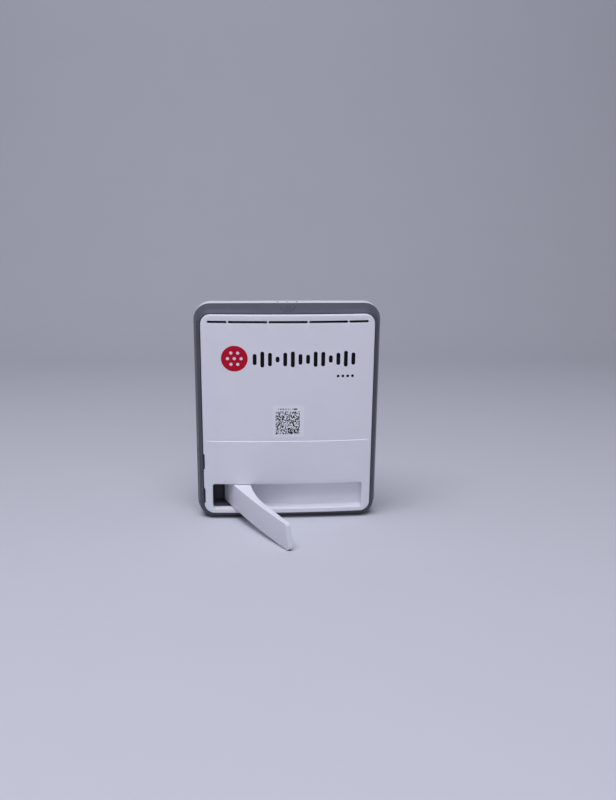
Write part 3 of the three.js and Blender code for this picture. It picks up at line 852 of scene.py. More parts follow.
@dataclass(frozen=True)
class Palette:
    """Every finish on the monitor."""

    casing: Finish
    rubber: Finish
    red_ink: Finish
    black_ink: Finish
    label: Finish
    dark_plastic: Finish
    board: Finish
    steel: Finish
    aluminium: Finish
    wrap: Finish
    polyimide: Finish
    acetal: Finish
    lens: Finish
    mesh: Finish

    @classmethod
    def for_body(cls, place: BodyFrame) -> "Palette":
        """The finishes, with patterns that stand upright on the leaning body.

        Args:
            place: The body's own frame, whose lean the patterns undo.

        Returns:
            The palette.
        """
        lean = place.lean
        start = place.body.to_translation()
        local = Matrix.Rotation(-lean, 3, "X") @ start / MM
        return cls(
            # ABS/PC, injection moulded in a spark-eroded tool: an even satin white
            casing=Finish("moulded_abs_white", "#e2e2e9", 0.46, ior=1.54, grain_mm=0.45,
                          grain_depth_mm=0.006, mottle=0.012, lean=lean),
            # TPE, moulded matt: dark grey that scatters light at its edges
            rubber=Finish("moulded_tpe_grey", "#4d4f5a", 0.62, ior=1.48, grain_mm=0.6,
                          grain_depth_mm=0.02, mottle_mm=12, mottle=0.06, sheen=0.12, lean=lean),
            # Pad-printed ink: thin, smooth and a little glossier than the plastic
            red_ink=Finish("pad_print_red", "#bb0c30", 0.5, specular=0.12, grain_mm=0.4,
                           grain_depth_mm=0.003,
                           mottle_mm=5, mottle=0.03, lean=lean),
            black_ink=Finish("pad_print_black", "#0a0a10", 0.5, specular=0.12, grain_mm=0.4,
                             grain_depth_mm=0.003, mottle_mm=5, mottle=0.05, lean=lean),
            # Polyester film with printed cells, under a semi-gloss overlaminate
            label=CellCode("printed_polyester", "#e9e9ee", 0.34, grain_mm=0.8,
                           grain_depth_mm=0.003, mottle=0.01, lean=lean, origin_mm=tuple(local)),
            # Glass-filled ABS, unpainted; it also lines the recess's deep end as painted shade
            dark_plastic=Finish("moulded_abs_black", "#3d3f4a", 0.55, grain_mm=0.5,
                                grain_depth_mm=0.02, mottle=0.06, lean=lean),
            board=CircuitBoard("solder_resist_green", "#175034", 0.38, grain_mm=0.3,
                               grain_depth_mm=0.03, coat=0.2, lean=lean),
            # Tin-plated spring steel
            steel=BrushedMetal("tinned_steel", "#b9bcc2", 0.3, metallic=1.0, grain_mm=0.12,
                               grain_depth_mm=0.006, mottle=0.03, lean=lean),
            aluminium=BrushedMetal("rolled_aluminium", "#a9adb3", 0.38, metallic=1.0,
                                   grain_mm=0.2, grain_depth_mm=0.01, mottle=0.04, lean=lean),
            # PVC shrink wrap over the cells: smooth with slack ripples
            wrap=Finish("pvc_shrink_wrap", "#31436b", 0.32, grain_mm=7, grain_depth_mm=0.15,
                        mottle=0.05, coat=0.3, lean=lean),
            polyimide=Finish("polyimide_film", "#a9642a", 0.28, grain_mm=2, grain_depth_mm=0.02,
                             mottle_mm=6, mottle=0.12, lean=lean),
            acetal=Finish("turned_acetal", "#dedcd3", 0.42, grain_mm=0.3, grain_depth_mm=0.01,
                          mottle=0.02, lean=lean),
            # Smoked polycarbonate: dark until a light is lit behind it
            lens=Finish("smoked_polycarbonate", "#17181e", 0.2, ior=1.58, grain_mm=0.5,
                        grain_depth_mm=0.002, mottle=0.04, coat=0.5, lean=lean),
            mesh=Perforated("etched_dust_mesh", "#0b0b10", 0.7, specular=0.2, grain_mm=0.4,
                            grain_depth_mm=0.01, lean=lean),
        )


# ---------------------------------------------------------------- pieces


class Rider(Enum):
    """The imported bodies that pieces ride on."""

    BODY = "body"
    LEG = "leg"
    BUTTON = "button"
    DOOR = "door"


class Workshop:
    """Keeps the finishes and puts finished pieces on their bodies."""

    def __init__(self, sizes: Sizes, place: BodyFrame) -> None:
        """Makes every material once.

        Args:
            sizes: The monitor's driving sizes.
            place: Turns body millimetres into the shared frame.
        """
        self.sizes = sizes
        self.place = place
        palette = Palette.for_body(place)
        self.materials = {key: getattr(palette, key).make() for key in vars(palette)}

    def settle(self, obj: bpy.types.Object, finish: str, rider: Rider = Rider.BODY,
               replaces: Sequence[str] = (), slot: str | None = None,
               sharp_deg: float = 35) -> None:
        """Shades, dresses and mounts a piece.

        Args:
            obj: The piece, in place.
            finish: Name of its finish in the palette.
            rider: The body that it rides on.
            replaces: CAD nodes that it stands for.
            slot: Material slot in the record; not used.
            sharp_deg: Edges sharper than this stay sharp.
        """
        shade(obj, sharp_deg)
        obj.data.materials.clear()
        obj.data.materials.append(self.materials[finish])
        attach(obj, rider.value)
        if replaces:
            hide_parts(*replaces)
        LOG.info("%s: %d faces, on %s", obj.name, len(obj.data.polygons), rider.value)

    def dress_node(self, node: str, finish: str) -> None:
        """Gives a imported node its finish.

        Args:
            node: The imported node's name.
            finish: Name of its finish in the palette.
        """
        data = frame["nodes"][node].data
        data.materials.clear()
        data.materials.append(self.materials[finish])


@dataclass
class RearCasing:
    """White rear casing: crowned panel, ledge, vent slots, recess and its tray."""

    shop: Workshop
    edge_inset: float = 0.8
    edge_depth: float = 0.6
    skirt_y: float = 5.0
    skirt_wall: float = 1.3
    rim: float = 0.3
    slot_rim: float = 0.15
    vent_z: float = 126.1
    vent_height: float = 1.6
    vent_length: float = 95.2
    rib_pitch: float = 23.8
    rib: float = 0.75
    ribs: int = 4
    notch_width: float = 0.8
    notch_length: float = 11.0
    notch_lows: tuple[float, float] = (9.6, 32.4)
    notch_depth: float = 5.6
    well_floor: float = 4.6
    well_deep: float = 16.8
    well_fillet: float = 1.2
    well_wall: float = 1.2
    hub: float = 4.9
    blade_end: float = 8.0
    tip: float = 43.4
    # Where the dark liner of painted shade starts: left of this X, deeper than this Y.
    shade_liner_side: float = -33.0
    shade_liner_back: float = 5.0

    @property
    def sizes(self) -> Sizes:
        """The monitor's driving sizes."""
        return self.shop.sizes

    @property
    def recess(self) -> Outline:
        """Mouth of the leg's recess."""
        s = self.sizes
        return Outline(s.recess_half, s.recess_low, s.recess_high, s.recess_corner, 26, 5, 6)

    def vents(self) -> list[Outline]:
        """Outlines of the vent slots, between the ribs.

        Returns:
            One outline for each slot.
        """
        edges = [-self.vent_length / 2]
        for index in range(self.ribs):
            middle = (index - (self.ribs - 1) / 2) * self.rib_pitch
            edges += [middle - self.rib / 2, middle + self.rib / 2]
        edges.append(self.vent_length / 2)
        half = self.vent_height / 2
        return [Outline((high - low) / 2, self.vent_z - half, self.vent_z + half, half * 0.9,
                        max(2, round((high - low) / 4)), 1, 4, (low + high) / 2)
                for low, high in zip(edges[::2], edges[1::2])]

    def inner_points(self) -> list[tuple[float, float]]:
        """Points that let the panel follow its crown and its ledge.

        Returns:
            The points, as X and Z.
        """
        s = self.sizes
        rows = [s.step_z + LEDGE_HALF, s.step_z - LEDGE_HALF]
        points = [(x * 2.0, z) for x in range(-24, 25) for z in rows]
        spans = [(s.shell_low, s.step_z - 2.5), (s.step_z + 2.5, s.shell_top)]
        for low, high in spans:
            count = round((high - low) / 6)
            for step in range(count + 1):
                z = low + (high - low) * step / count
                points += [(x * 4.0, z) for x in range(-12, 13)]
        return points

    def panel(self) -> bpy.types.Object:
        """Builds the panel with its skirt and cuts the finger notches.

        Returns:
            The rear casing.
        """
        s = self.sizes
        outer = Outline(s.shell_half, s.shell_low, s.shell_top, s.shell_corner)
        cage = Cage()

        def at(outline: Outline, inset: float, depth: float) -> list[tuple[float, float, float]]:
            """Points round an outline, at a depth below the panel's surface."""
            return [(x, s.panel_at(x, z) + depth, z) for x, z in outline.points(inset)]

        rings = [at(outer, self.edge_inset * (1 - math.sin(a)), self.edge_depth * (1 - math.cos(a)))
                 for a in arc_steps(7)]
        rings.append([(x, self.skirt_y, z) for x, z in outer.points()])
        rings.append([(x, self.skirt_y, z) for x, z in outer.points(self.skirt_wall)])
        rings.append(at(outer, self.skirt_wall, s.panel_wall))
        cage.loft(rings)
        holes = [(self.recess, self.rim)] + [(vent, self.slot_rim) for vent in self.vents()]
        for outline, rim in holes:
            rings = [at(outline, -rim * (1 - math.sin(a)), rim * (1 - math.cos(a)))
                     for a in arc_steps(4)]
            rings.append(at(outline, 0, s.panel_wall))
            cage.loft(rings)
        cage.fill(outer.points(self.edge_inset), [o.points(-rim) for o, rim in holes],
                  self.inner_points(), s.panel_at)
        cage.fill(outer.points(self.skirt_wall), [o.points() for o, _ in holes],
                  self.inner_points(), lambda x, z: s.panel_at(x, z) + s.panel_wall)
        obj = cage.finish("rear_casing", self.shop.place.body)
        for index, low in enumerate(self.notch_lows):
            cutter = block(f"notch_{index}", (-s.half, -3, low),
                           (-s.shell_half + self.notch_width, self.notch_depth,
                            low + self.notch_length), self.shop.place.body)
            soften(cutter, 0.6, 4)
            bake(cutter)
            carve(obj, cutter)
        return obj

    def floor_depth(self, x: float) -> float:
        """Depth of the recess's floor: shallow behind the blade, an S-curve, then the deep end.

        Args:
            x: Place across the recess.

        Returns:
            The depth.
        """
        for (ax, ay), (bx, by) in zip(self.floor_line(), self.floor_line()[1:]):
            if ax <= x <= bx:
                return ay + (by - ay) * (x - ax) / (bx - ax)
        return self.floor_line()[0][1] if x < 0 else self.floor_line()[-1][1]

    def floor_line(self) -> list[tuple[float, float]]:
        """The floor's line along X, from the deep end to the shallow one.

        Returns:
            The points, as X and depth.
        """
        s = self.sizes
        line = [(-s.recess_half, self.well_deep), (s.pivot_x + 0.9, self.well_deep)]
        for step in range(5):
            angle = math.pi * (0.41 - 0.04 * step)
            line.append((s.pivot_x + self.hub * math.cos(angle),
                         s.pivot_y + self.hub * math.sin(angle)))
        gap = self.well_floor - 3.9
        points = s_curve((s.pivot_x + self.hub * math.sqrt(0.5),
                          s.pivot_y + self.hub * math.sqrt(0.5)),
                         (-16.5, 9.6 + gap), (-8.0, 4.4 + gap),
                         (self.blade_end, self.well_floor + s.crown_at(self.blade_end)), 16)
        line += points
        for step in range(1, 10):
            x = self.blade_end + (self.tip - self.blade_end) * step / 9
            line.append((x, self.well_floor + s.crown_at(x)))
        line.append((s.recess_half, self.well_floor + s.crown_at(self.tip)))
        return line

    def tray_skin(self) -> Cage:
        """The inside skin of the whole recess.

        Returns:
            The skin, not yet a piece.
        """
        s = self.sizes
        limit = s.recess_half - s.recess_corner
        columns = [-limit] + [x for x, _ in self.floor_line() if abs(x) < limit - 0.3] + [limit]
        cage = Cage()
        rings = [[(x, s.panel_at(x, z) + s.panel_wall, z)
                  for x, z in self.tray_outline(columns, 0)]]
        for angle in arc_steps(6):
            inset = self.well_fillet * (1 - math.cos(angle))
            rise = self.well_fillet * (1 - math.sin(angle))
            rings.append([(x, self.floor_depth(x) - rise, z)
                          for x, z in self.tray_outline(columns, inset)])
        last = cage.loft(rings)[-1]
        count = len(columns)
        low, high = last[:count], last[count:]
        arc = (len(high) - count) // 2
        right, top = high[:arc], high[arc:arc + count]
        left = high[arc + count:]
        for step in range(count - 1):
            cage.face((low[step], low[step + 1], top[count - 2 - step], top[count - 1 - step]))
        cage.face((low[-1], *right, top[0]))
        cage.face((top[-1], *left, low[0]))
        return cage

    def tray(self, name: str, shade_end: bool) -> bpy.types.Object:
        """Builds the white tray, or the dark liner that paints the shade in its deep end.

        Args:
            name: The piece's name.
            shade_end: True keeps the deep end, and False keeps the rest.

        Returns:
            A skin that Solidify thickens away from the hollow.
        """
        cage = self.tray_skin()
        for place, normal in (((self.shade_liner_side, 0, 0), (1, 0, 0)),
                              ((0, self.shade_liner_back, 0), (0, 1, 0))):
            every = [*cage.mesh.verts, *cage.mesh.edges, *cage.mesh.faces]
            bmesh.ops.bisect_plane(cage.mesh, geom=every, plane_co=place, plane_no=normal)
        middles = [(face, face.calc_center_median()) for face in cage.mesh.faces]
        drop = [face for face, at in middles
                if (at.x < self.shade_liner_side and at.y > self.shade_liner_back) != shade_end]
        bmesh.ops.delete(cage.mesh, geom=drop, context="FACES")
        obj = cage.finish(name, self.shop.place.body, Vector((0, -1, 0)))
        add_modifier(obj, "SOLIDIFY", thickness=self.well_wall * MM, offset=-1.0)
        return obj

    def tray_outline(self, columns: Sequence[float], inset: float) -> list[tuple[float, float]]:
        """Recess outline with points at the given columns: bottom, right, top, then left.

        Args:
            columns: The X of each column, from left to right.
            inset: How far the outline is moved in.

        Returns:
            The points, as X and Z.
        """
        s = self.sizes
        radius = s.recess_corner - inset
        low, high = s.recess_low + s.recess_corner, s.recess_high - s.recess_corner
        limit = s.recess_half - s.recess_corner
        points = [(x, low - radius) for x in columns]
        arcs = arc_steps(5)
        points += [(limit + radius * math.sin(a), low - radius * math.cos(a)) for a in arcs[1:]]
        points += [(limit + radius * math.cos(a), high + radius * math.sin(a)) for a in arcs[:-1]]
        points += [(x, high + radius) for x in reversed(columns)]
        points += [(-limit - radius * math.sin(a), high + radius * math.cos(a)) for a in arcs[1:]]
        points += [(-limit - radius * math.cos(a), low - radius * math.sin(a)) for a in arcs[:-1]]
        return points

    def build(self) -> None:
        """Builds and mounts the casing, the tray and the dark liner that paints shade in its deep
        end.
        """
        self.shop.settle(self.panel(), "casing", replaces=["back_shell"], slot="white_shell",
                         sharp_deg=30)
        self.shop.settle(self.tray("leg_tray", False), "casing", replaces=["leg_well"],
                         slot="white_shell", sharp_deg=60)
        # The dark liner paints the shade that falls in the recess's deep end.
        self.shop.settle(self.tray("tail_shade_liner", True), "dark_plastic",
                         replaces=["tail_pocket"], slot="dark_plastic", sharp_deg=60)


def s_curve(start: Sequence[float], first: Sequence[float], second: Sequence[float],
            end: Sequence[float], count: int) -> list[tuple[float, float]]:
    """Points along a cubic Bezier curve, its start left out.

    Args:
        start: Where the curve starts.
        first: Its first handle.
        second: Its second handle.
        end: Where it ends.
        count: How many points are wanted.

    Returns:
        The points, the last of them at the end.
    """
    found = []
    for step in range(1, count + 1):
        t = step / count
        weights = ((1 - t) ** 3, 3 * t * (1 - t) ** 2, 3 * t * t * (1 - t), t ** 3)
        found.append(tuple(sum(w * p[axis] for w, p in zip(weights, (start, first, second, end)))
                           for axis in (0, 1)))
    return found


@dataclass
class Bumper:
    """Dark rubber bumper round the body, its port flap and the window that the flap fills."""

    shop: Workshop
    seat_inset: float = 4.0
    seam: float = 0.5
    lip_depth: float = 1.2
    ridge_inset: float = 1.9
    ridge_y: float = 5.3
    bore_inset: float = 7.0
    seat_y: float = 5.3
    edge: float = 0.4
    door_low: float = 9.6
    door_high: float = 43.4
    door_back: float = 4.6
    door_front: float = 11.4
    door_inset: float = 3.0
    clearance: float = 0.3

    @property
    def sizes(self) -> Sizes:
        """The monitor's driving sizes."""
        return self.shop.sizes

    def base_at(self, y: float) -> float:
        """Height of the flat base at a depth."""
        return -(y - self.sizes.base_edge) * math.tan(self.shop.place.lean)

    def level(self, inset: float, low: float, radius: float) -> list[tuple[float, float]]:
        """Outline points at an inset from the widest outline."""
        s = self.sizes
        return Outline(s.half - inset, low, s.height - inset, radius).points()

    def ring(self) -> bpy.types.Object:
        """Builds the closed ring and rounds its ridges.

        Returns:
            The rubber ring.
        """
        s = self.sizes
        gap = self.seam
        seat = Outline(s.shell_half + gap, s.shell_low - gap, s.shell_top + gap,
                       s.shell_corner + gap).points()
        cage = Cage()
        rings = [
            [(x, self.seat_y, z) for x, z in seat],
            [(x, s.crown_at(x) + self.lip_depth, z) for x, z in seat],
            [(x, self.ridge_y, z)
             for x, z in self.level(self.ridge_inset, self.base_at(self.ridge_y),
                                    s.corner - self.ridge_inset * 0.35)],
            [(x, s.bumper_front, z)
             for x, z in self.level(0, self.base_at(s.bumper_front), s.corner)],
            [(x, s.bumper_front, z)
             for x, z in self.level(self.bore_inset, s.shell_low, 4.0)],
            [(x, self.seat_y, z) for x, z in self.level(self.bore_inset, s.shell_low, 4.0)],
        ]
        made = cage.loft(rings, looped=True)
        weights = cage.mesh.edges.layers.float.new("bevel_weight_edge")
        for ring in made[1:4]:
            for vertex, after in zip(ring, [*ring[1:], ring[0]]):
                cage.mesh.edges.get((vertex, after))[weights] = 1.0
        obj = cage.finish("rubber_bumper", self.shop.place.body)
        add_modifier(obj, "BEVEL", width=self.edge * MM, segments=4, limit_method="WEIGHT",
                     use_clamp_overlap=True)
        bake(obj)
        return obj

    def facet_inset(self, y: float) -> float:
        """Inset of the front facet at a depth."""
        along = (y - self.ridge_y) / (self.sizes.bumper_front - self.ridge_y)
        return self.ridge_inset * (1 - along)

    def flap(self) -> bpy.types.Object:
        """Builds the rubber flap over the socket, flush with the bumper.

        Returns:
            The flap.
        """
        s = self.sizes
        back_inset = self.ridge_inset + (self.ridge_y - self.door_back) * (
            (self.seat_inset - self.ridge_inset) / (self.ridge_y - s.crown - self.lip_depth))
        profile = [
            (-s.half + self.door_inset, self.door_back),
            (-s.half + min(back_inset, self.door_inset - 0.1), self.door_back),
            (-s.half + self.ridge_inset, self.ridge_y),
            (-s.half + self.facet_inset(self.door_front), self.door_front),
            (-s.half + self.door_inset, self.door_front),
        ]
        cage = Cage()
        rings = cage.loft([[(x, y, z) for x, y in profile]
                           for z in (self.door_low, self.door_high)])
        for ring in rings:
            cage.face(ring)
        obj = cage.finish("port_flap", self.shop.place.body)
        soften(obj, 0.3, 3, 40)
        return obj

    def build(self) -> None:
        """Builds the ring and the flap, cuts the ring and mounts both."""
        s = self.sizes
        place = self.shop.place.body
        ring = self.ring()
        gap = self.clearance
        carve(ring, block("flap_window", (-s.half - 3, self.door_back - gap, self.door_low - gap),
                          (-s.half + self.door_inset + gap, self.door_front + gap,
                           self.door_high + gap), place))
        carve(ring, block("socket_window", (-s.half - 3, 5.6, 33), (-44, 10.2, 43), place))
        button = PowerButton(self.shop)
        carve(ring, button.well())
        self.shop.settle(ring, "rubber", replaces=["bumper_band"], slot="bumper_rubber",
                         sharp_deg=40)
        self.shop.settle(self.flap(), "rubber", Rider.DOOR, ["port_door"], "bumper_rubber")
        button.build()


@dataclass
class PowerButton:
    """Round rubber power button in the bumper's top, with a raised ring and bar."""

    shop: Workshop
    radius: float = 4.25
    proud: float = 0.35
    depth: float = 0.8
    seat_y: float = 7.2
    stem_radius: float = 1.5
    stem_end: float = -5.7
    edge: float = 0.6
    clearance: float = 0.12
    sign_radius: float = 1.7
    sign_wire: float = 0.2
    sign_gap_deg: float = 35.0

    def place(self) -> Matrix:
        """Turns the button's own millimetres, with Z out of the bumper, into the shared frame.

        Returns:
            The turn and the move.
        """
        press = Vector(joint("button_press")["axis"])
        body = self.shop.place.body
        outward = (body.to_3x3().normalized().inverted() @ -press).normalized()
        bumper = Bumper(self.shop)
        seat = Vector((0, self.seat_y, self.shop.sizes.height - bumper.facet_inset(self.seat_y)))
        turn = Vector((0, 0, 1)).rotation_difference(outward).to_matrix().to_4x4()
        return body @ Matrix.Translation(seat) @ turn

    def well(self) -> bpy.types.Object:
        """Helper that cuts the button's hole in the bumper.

        Returns:
            The helper, a little wider than the cap.
        """
        wide = self.radius + self.clearance
        profile = [(0, 4), (wide, 4), (wide, -9), (0, -9)]
        return turned("button_well", profile, self.place())

    def build(self) -> None:
        """Builds and mounts the button."""
        place = self.place()
        top, r = self.proud, self.radius
        profile = [(0, top - 0.12), (r * 0.4, top - 0.1), (r * 0.75, top)]
        profile += [(r - self.edge * (1 - math.sin(a)), top - self.edge * (1 - math.cos(a)))
                    for a in arc_steps(5)]
        profile += [(r, -self.depth), (self.stem_radius, -self.depth),
                    (self.stem_radius, self.stem_end), (0, self.stem_end)]
        cap = turned("cap", profile, place, 64)
        pieces = [cap, self.sign(place)]
        self.shop.settle(join("button_cap", pieces), "rubber", Rider.BUTTON, ["power_button"],
                         "bumper_rubber")

    def sign(self, place: Matrix) -> bpy.types.Object:
        """Raised open ring with a bar through its gap.

        Args:
            place: Turns the button's millimetres into the shared frame.

        Returns:
            The raised sign.
        """
        wires = []
        gap = math.radians(self.sign_gap_deg)
        turn = 2 * math.pi - 2 * gap
        arc = [(self.sign_radius * math.sin(gap + turn * step / 24),
                self.sign_radius * math.cos(gap + turn * step / 24)) for step in range(25)]
        bar = [(0, self.sign_radius * share) for share in (0.15, 0.6, 1.2)]
        for index, line in enumerate((arc, bar)):
            curve = bpy.data.curves.new(f"sign_{index}", "CURVE")
            curve.dimensions = "3D"
            curve.bevel_depth = self.sign_wire
            curve.bevel_resolution = 2
            curve.use_fill_caps = True
            spline = curve.splines.new("POLY")
            spline.points.add(len(line) - 1)
            for point, (x, y) in zip(spline.points, line):
                point.co = (x, y, self.proud - 0.06, 1)
            obj = bpy.data.objects.new(f"sign_{index}", curve)
            bpy.context.scene.collection.objects.link(obj)
            bpy.context.view_layer.update()
            graph = bpy.context.evaluated_depsgraph_get()
            data = bpy.data.meshes.new_from_object(obj.evaluated_get(graph))
            bpy.data.objects.remove(obj)
            bpy.data.curves.remove(curve)
            data.transform(place)
            wire = bpy.data.objects.new(f"sign_mesh_{index}", data)
            bpy.context.scene.collection.objects.link(wire)
            wires.append(wire)
        return join("sign", wires)


@dataclass
class FrontHousing:
    """White front housing with a crowned radar window, and the three lights in its top."""

    shop: Workshop
    start_y: float = 13.3
    side_y: float = 20.5
    face_y: float = 25.3
    start_inset: float = 0.3
    side_inset: float = 0.5
    fillet_inset: float = 5.5
    crown: float = 1.9
    base_gap: float = 0.6
    wall: float = 1.8
    light_y: float = 17.2
    light_pitch: float = 5.8
    light_radius: float = 0.8

    def outline(self, inset: float, y: float) -> list[tuple[float, float]]:
        """Outline points of the housing at a depth.

        Args:
            inset: How far the outline is moved in.
            y: The depth, which sets where the leaning base is.

        Returns:
            The points, as X and Z.
        """
        s = self.shop.sizes
        low = -(y - s.base_edge) * math.tan(self.shop.place.lean) + self.base_gap - self.start_inset
        radius = max(s.corner - inset, 1.5)
        return Outline(s.half - inset, low + inset, s.height - inset, radius).points()

    def face_at(self, x: float, z: float) -> float:
        """Depth of the crowned face.

        Args:
            x: Place across the face.
            z: Height up the face.

        Returns:
            The depth.
        """
        s = self.shop.sizes
        middle = s.height / 2
        return self.face_y - self.crown * ((x / s.half) ** 2 + ((z - middle) / middle) ** 2)

    def build(self) -> None:
        """Builds and mounts the housing and its lights."""
        cage = Cage()
        rings = [[(x, y, z) for x, z in self.outline(inset, y)]
                 for y, inset in ((self.start_y, self.start_inset + 0.25),
                                  (self.start_y + 0.25, self.start_inset),
                                  (self.side_y, self.side_inset))]
        edge = self.outline(self.fillet_inset, self.side_y)
        depths = [self.face_at(x, z) for x, z in edge]
        for angle in arc_steps(8)[1:]:
            inset = self.side_inset + (self.fillet_inset - self.side_inset) * (1 - math.cos(angle))
            rings.append([(x, self.side_y + (deep - self.side_y) * math.sin(angle), z)
                          for (x, z), deep in zip(self.outline(inset, self.side_y), depths)])
        cage.loft(rings)
        inner = [(x * 5.0, z * 5.0) for x in range(-10, 11) for z in range(0, 27)]
        cage.fill(edge, [], [p for p in inner if within(p, self.outline(8.0, self.side_y))],
                  self.face_at)
        obj = cage.finish("front_housing", self.shop.place.body, Vector((0, 1, 0)))
        add_modifier(obj, "SOLIDIFY", thickness=self.wall * MM, offset=-1.0)
        bake(obj)
        for index in range(3):
            x = (index - 1) * self.light_pitch
            self.light(index, x)
            carve(obj, turned("light_hole", self.pin_profile(0.12, -8.0, 3.0), self.light_place(x)))
        self.shop.settle(obj, "casing", replaces=["front_cover"], slot="white_shell")

    def light_place(self, x: float) -> Matrix:
        """Turns a light's own millimetres, with Z up, into the shared frame.

        Args:
            x: Place of the light across the housing.

        Returns:
            The turn and the move.
        """
        s = self.shop.sizes
        place = Matrix.Translation((x, self.light_y, s.height - self.side_inset))
        return self.shop.place.body @ place

    def pin_profile(self, grow: float, low: float, high: float) -> list[tuple[float, float]]:
        """A plain pin, grown by a clearance."""
        radius = self.light_radius + grow
        return [(0, high), (radius, high), (radius, low), (0, low)]

    def light(self, index: int, x: float) -> None:
        """Builds and mounts one domed light.

        Args:
            index: Which light it is, from 1.
            x: Its place across the housing.
        """
        radius = self.light_radius
        profile = [(radius * math.sin(a), -0.15 + 0.3 * math.cos(a)) for a in arc_steps(6)]
        profile += [(radius, -9.0), (0, -9.0)]
        name = f"light_lens_{index + 1}"
        self.shop.settle(turned(name, profile, self.light_place(x), 24), "lens",
                         replaces=[f"status_light_{index + 1}"], slot="light_pipe")


@dataclass
class Kickstand:
    """Plank leg that swings out of the recess, and the pad under its tip."""

    shop: Workshop
    tip: float = 43.4
    tail: float = -38.4
    low: float = 7.8
    high: float = 23.2
    blade: float = 3.9
    tip_blade: float = 2.8
    tip_slant: float = 3.0
    hub: float = 4.2
    blade_end: float = 8.0
    tip_corner: float = 2.4
    slant_start: float = 28.0
    edge: float = 0.55
    pin_radius: float = 1.5
    bush_radius: float = 3.5
    bush_space: float = 1.6
    pad_length: float = 7.0
    pad_width: float = 1.4
    pad_depth: float = 2.0
    pad_proud: float = 0.25
    pad_end: float = 1.5

    def inner_line(self) -> list[tuple[float, float]]:
        """The leg's inner face from its tail, over the hub, to its tip.

        Returns:
            The points, as X and depth.
        """
        s = self.shop.sizes
        line = [(self.tail, 5.0), (self.tail + 0.8, 5.6)]
        for step in range(11):
            angle = math.pi * (0.85 - 0.06 * step)
            line.append((s.pivot_x + self.hub * math.cos(angle),
                         s.pivot_y + self.hub * math.sin(angle)))
        root = self.hub * math.sqrt(0.5)
        line += s_curve((s.pivot_x + root, s.pivot_y + root), (-16.5, 9.6), (-8.0, 4.4),
                        (self.blade_end, self.blade + s.crown_at(self.blade_end)), 16)
        straight = self.tip - self.tip_corner
        for step in range(1, 9):
            line.append(self.blade_point(self.blade_end + (straight - self.blade_end) * step / 8))
        for angle in arc_steps(7)[1:]:
            line.append(self.blade_point(straight + self.tip_corner * math.sin(angle)))
        return line

    def blade_point(self, x: float) -> tuple[float, float]:
        """Point on the blade's inner face, which thins towards the tip."""
        share = (x - self.blade_end) / (self.tip - self.blade_end)
        return x, self.blade + (self.tip_blade - self.blade) * share + self.shop.sizes.crown_at(x)

    def plank(self) -> bpy.types.Object:
        """Builds the leg from cross-sections, rounds it and cuts its bore and pad slot.

        Returns:
            The leg.
        """
        s = self.shop.sizes
        rings = []
        for x, inner in self.inner_line():
            into = clamp((x - self.tip + self.tip_corner) / self.tip_corner)
            drop = self.tip_corner * (1 - math.sqrt(max(0.0, 1 - into * into)))
            outer = s.crown_at(x)
            low, high = self.low + drop, self.high - drop
            along = (x - self.slant_start) / (self.tip - self.slant_start)
            slant = self.tip_slant * smooth_step(along)
            rings.append([(x, outer, low), (x - slant, outer, high),
                          (x - slant, inner, high), (x, inner, low)])
        cage = Cage()
        made = cage.loft(rings)
        cage.face(made[0])
        cage.face(made[-1])
        obj = cage.finish("kick_leg", self.shop.place.leg)
        soften(obj, self.edge, 4, 40)
        bake(obj)
        axis = self.shop.place.leg @ Matrix.Translation((s.pivot_x, s.pivot_y, 0))
        for index, (radius, low, high) in enumerate((
                (self.pin_radius, 0, 40),
                (self.bush_radius, self.low - 1, self.low + self.bush_space),
                (self.bush_radius, self.high - self.bush_space, self.high + 1))):
            profile = [(0, high), (radius, high), (radius, low), (0, low)]
            carve(obj, turned(f"bore_{index}", profile, axis, 32))
        carve(obj, self.pad_block("pad_slot", 0.25, self.low - 1))
        return obj

    def pad_block(self, name: str, grow: float, low: float) -> bpy.types.Object:
        """The pad, or the slot that it sits in.

        Args:
            name: The block's name.
            grow: Room added all round, for the slot.
            low: Height of its lower face.

        Returns:
            The block.
        """
        s = self.shop.sizes
        middle = s.crown_at(self.tip - self.pad_end) + self.tip_blade / 2
        half = self.pad_width / 2 + grow
        return block(name, (self.tip - self.pad_end - self.pad_length - grow, middle - half, low),
                     (self.tip - self.pad_end + grow, middle + half,
                      self.low + self.pad_depth + grow), self.shop.place.leg)

    def build(self) -> None:
        """Builds and mounts the leg and its pad."""
        self.shop.settle(self.plank(), "casing", Rider.LEG, ["kickstand_leg"], "white_shell")
        pad = self.pad_block("tip_pad", 0, self.low - self.pad_proud)
        soften(pad, 0.4, 4)
        self.shop.settle(pad, "rubber", Rider.LEG, ["foot_pad"], "bumper_rubber")


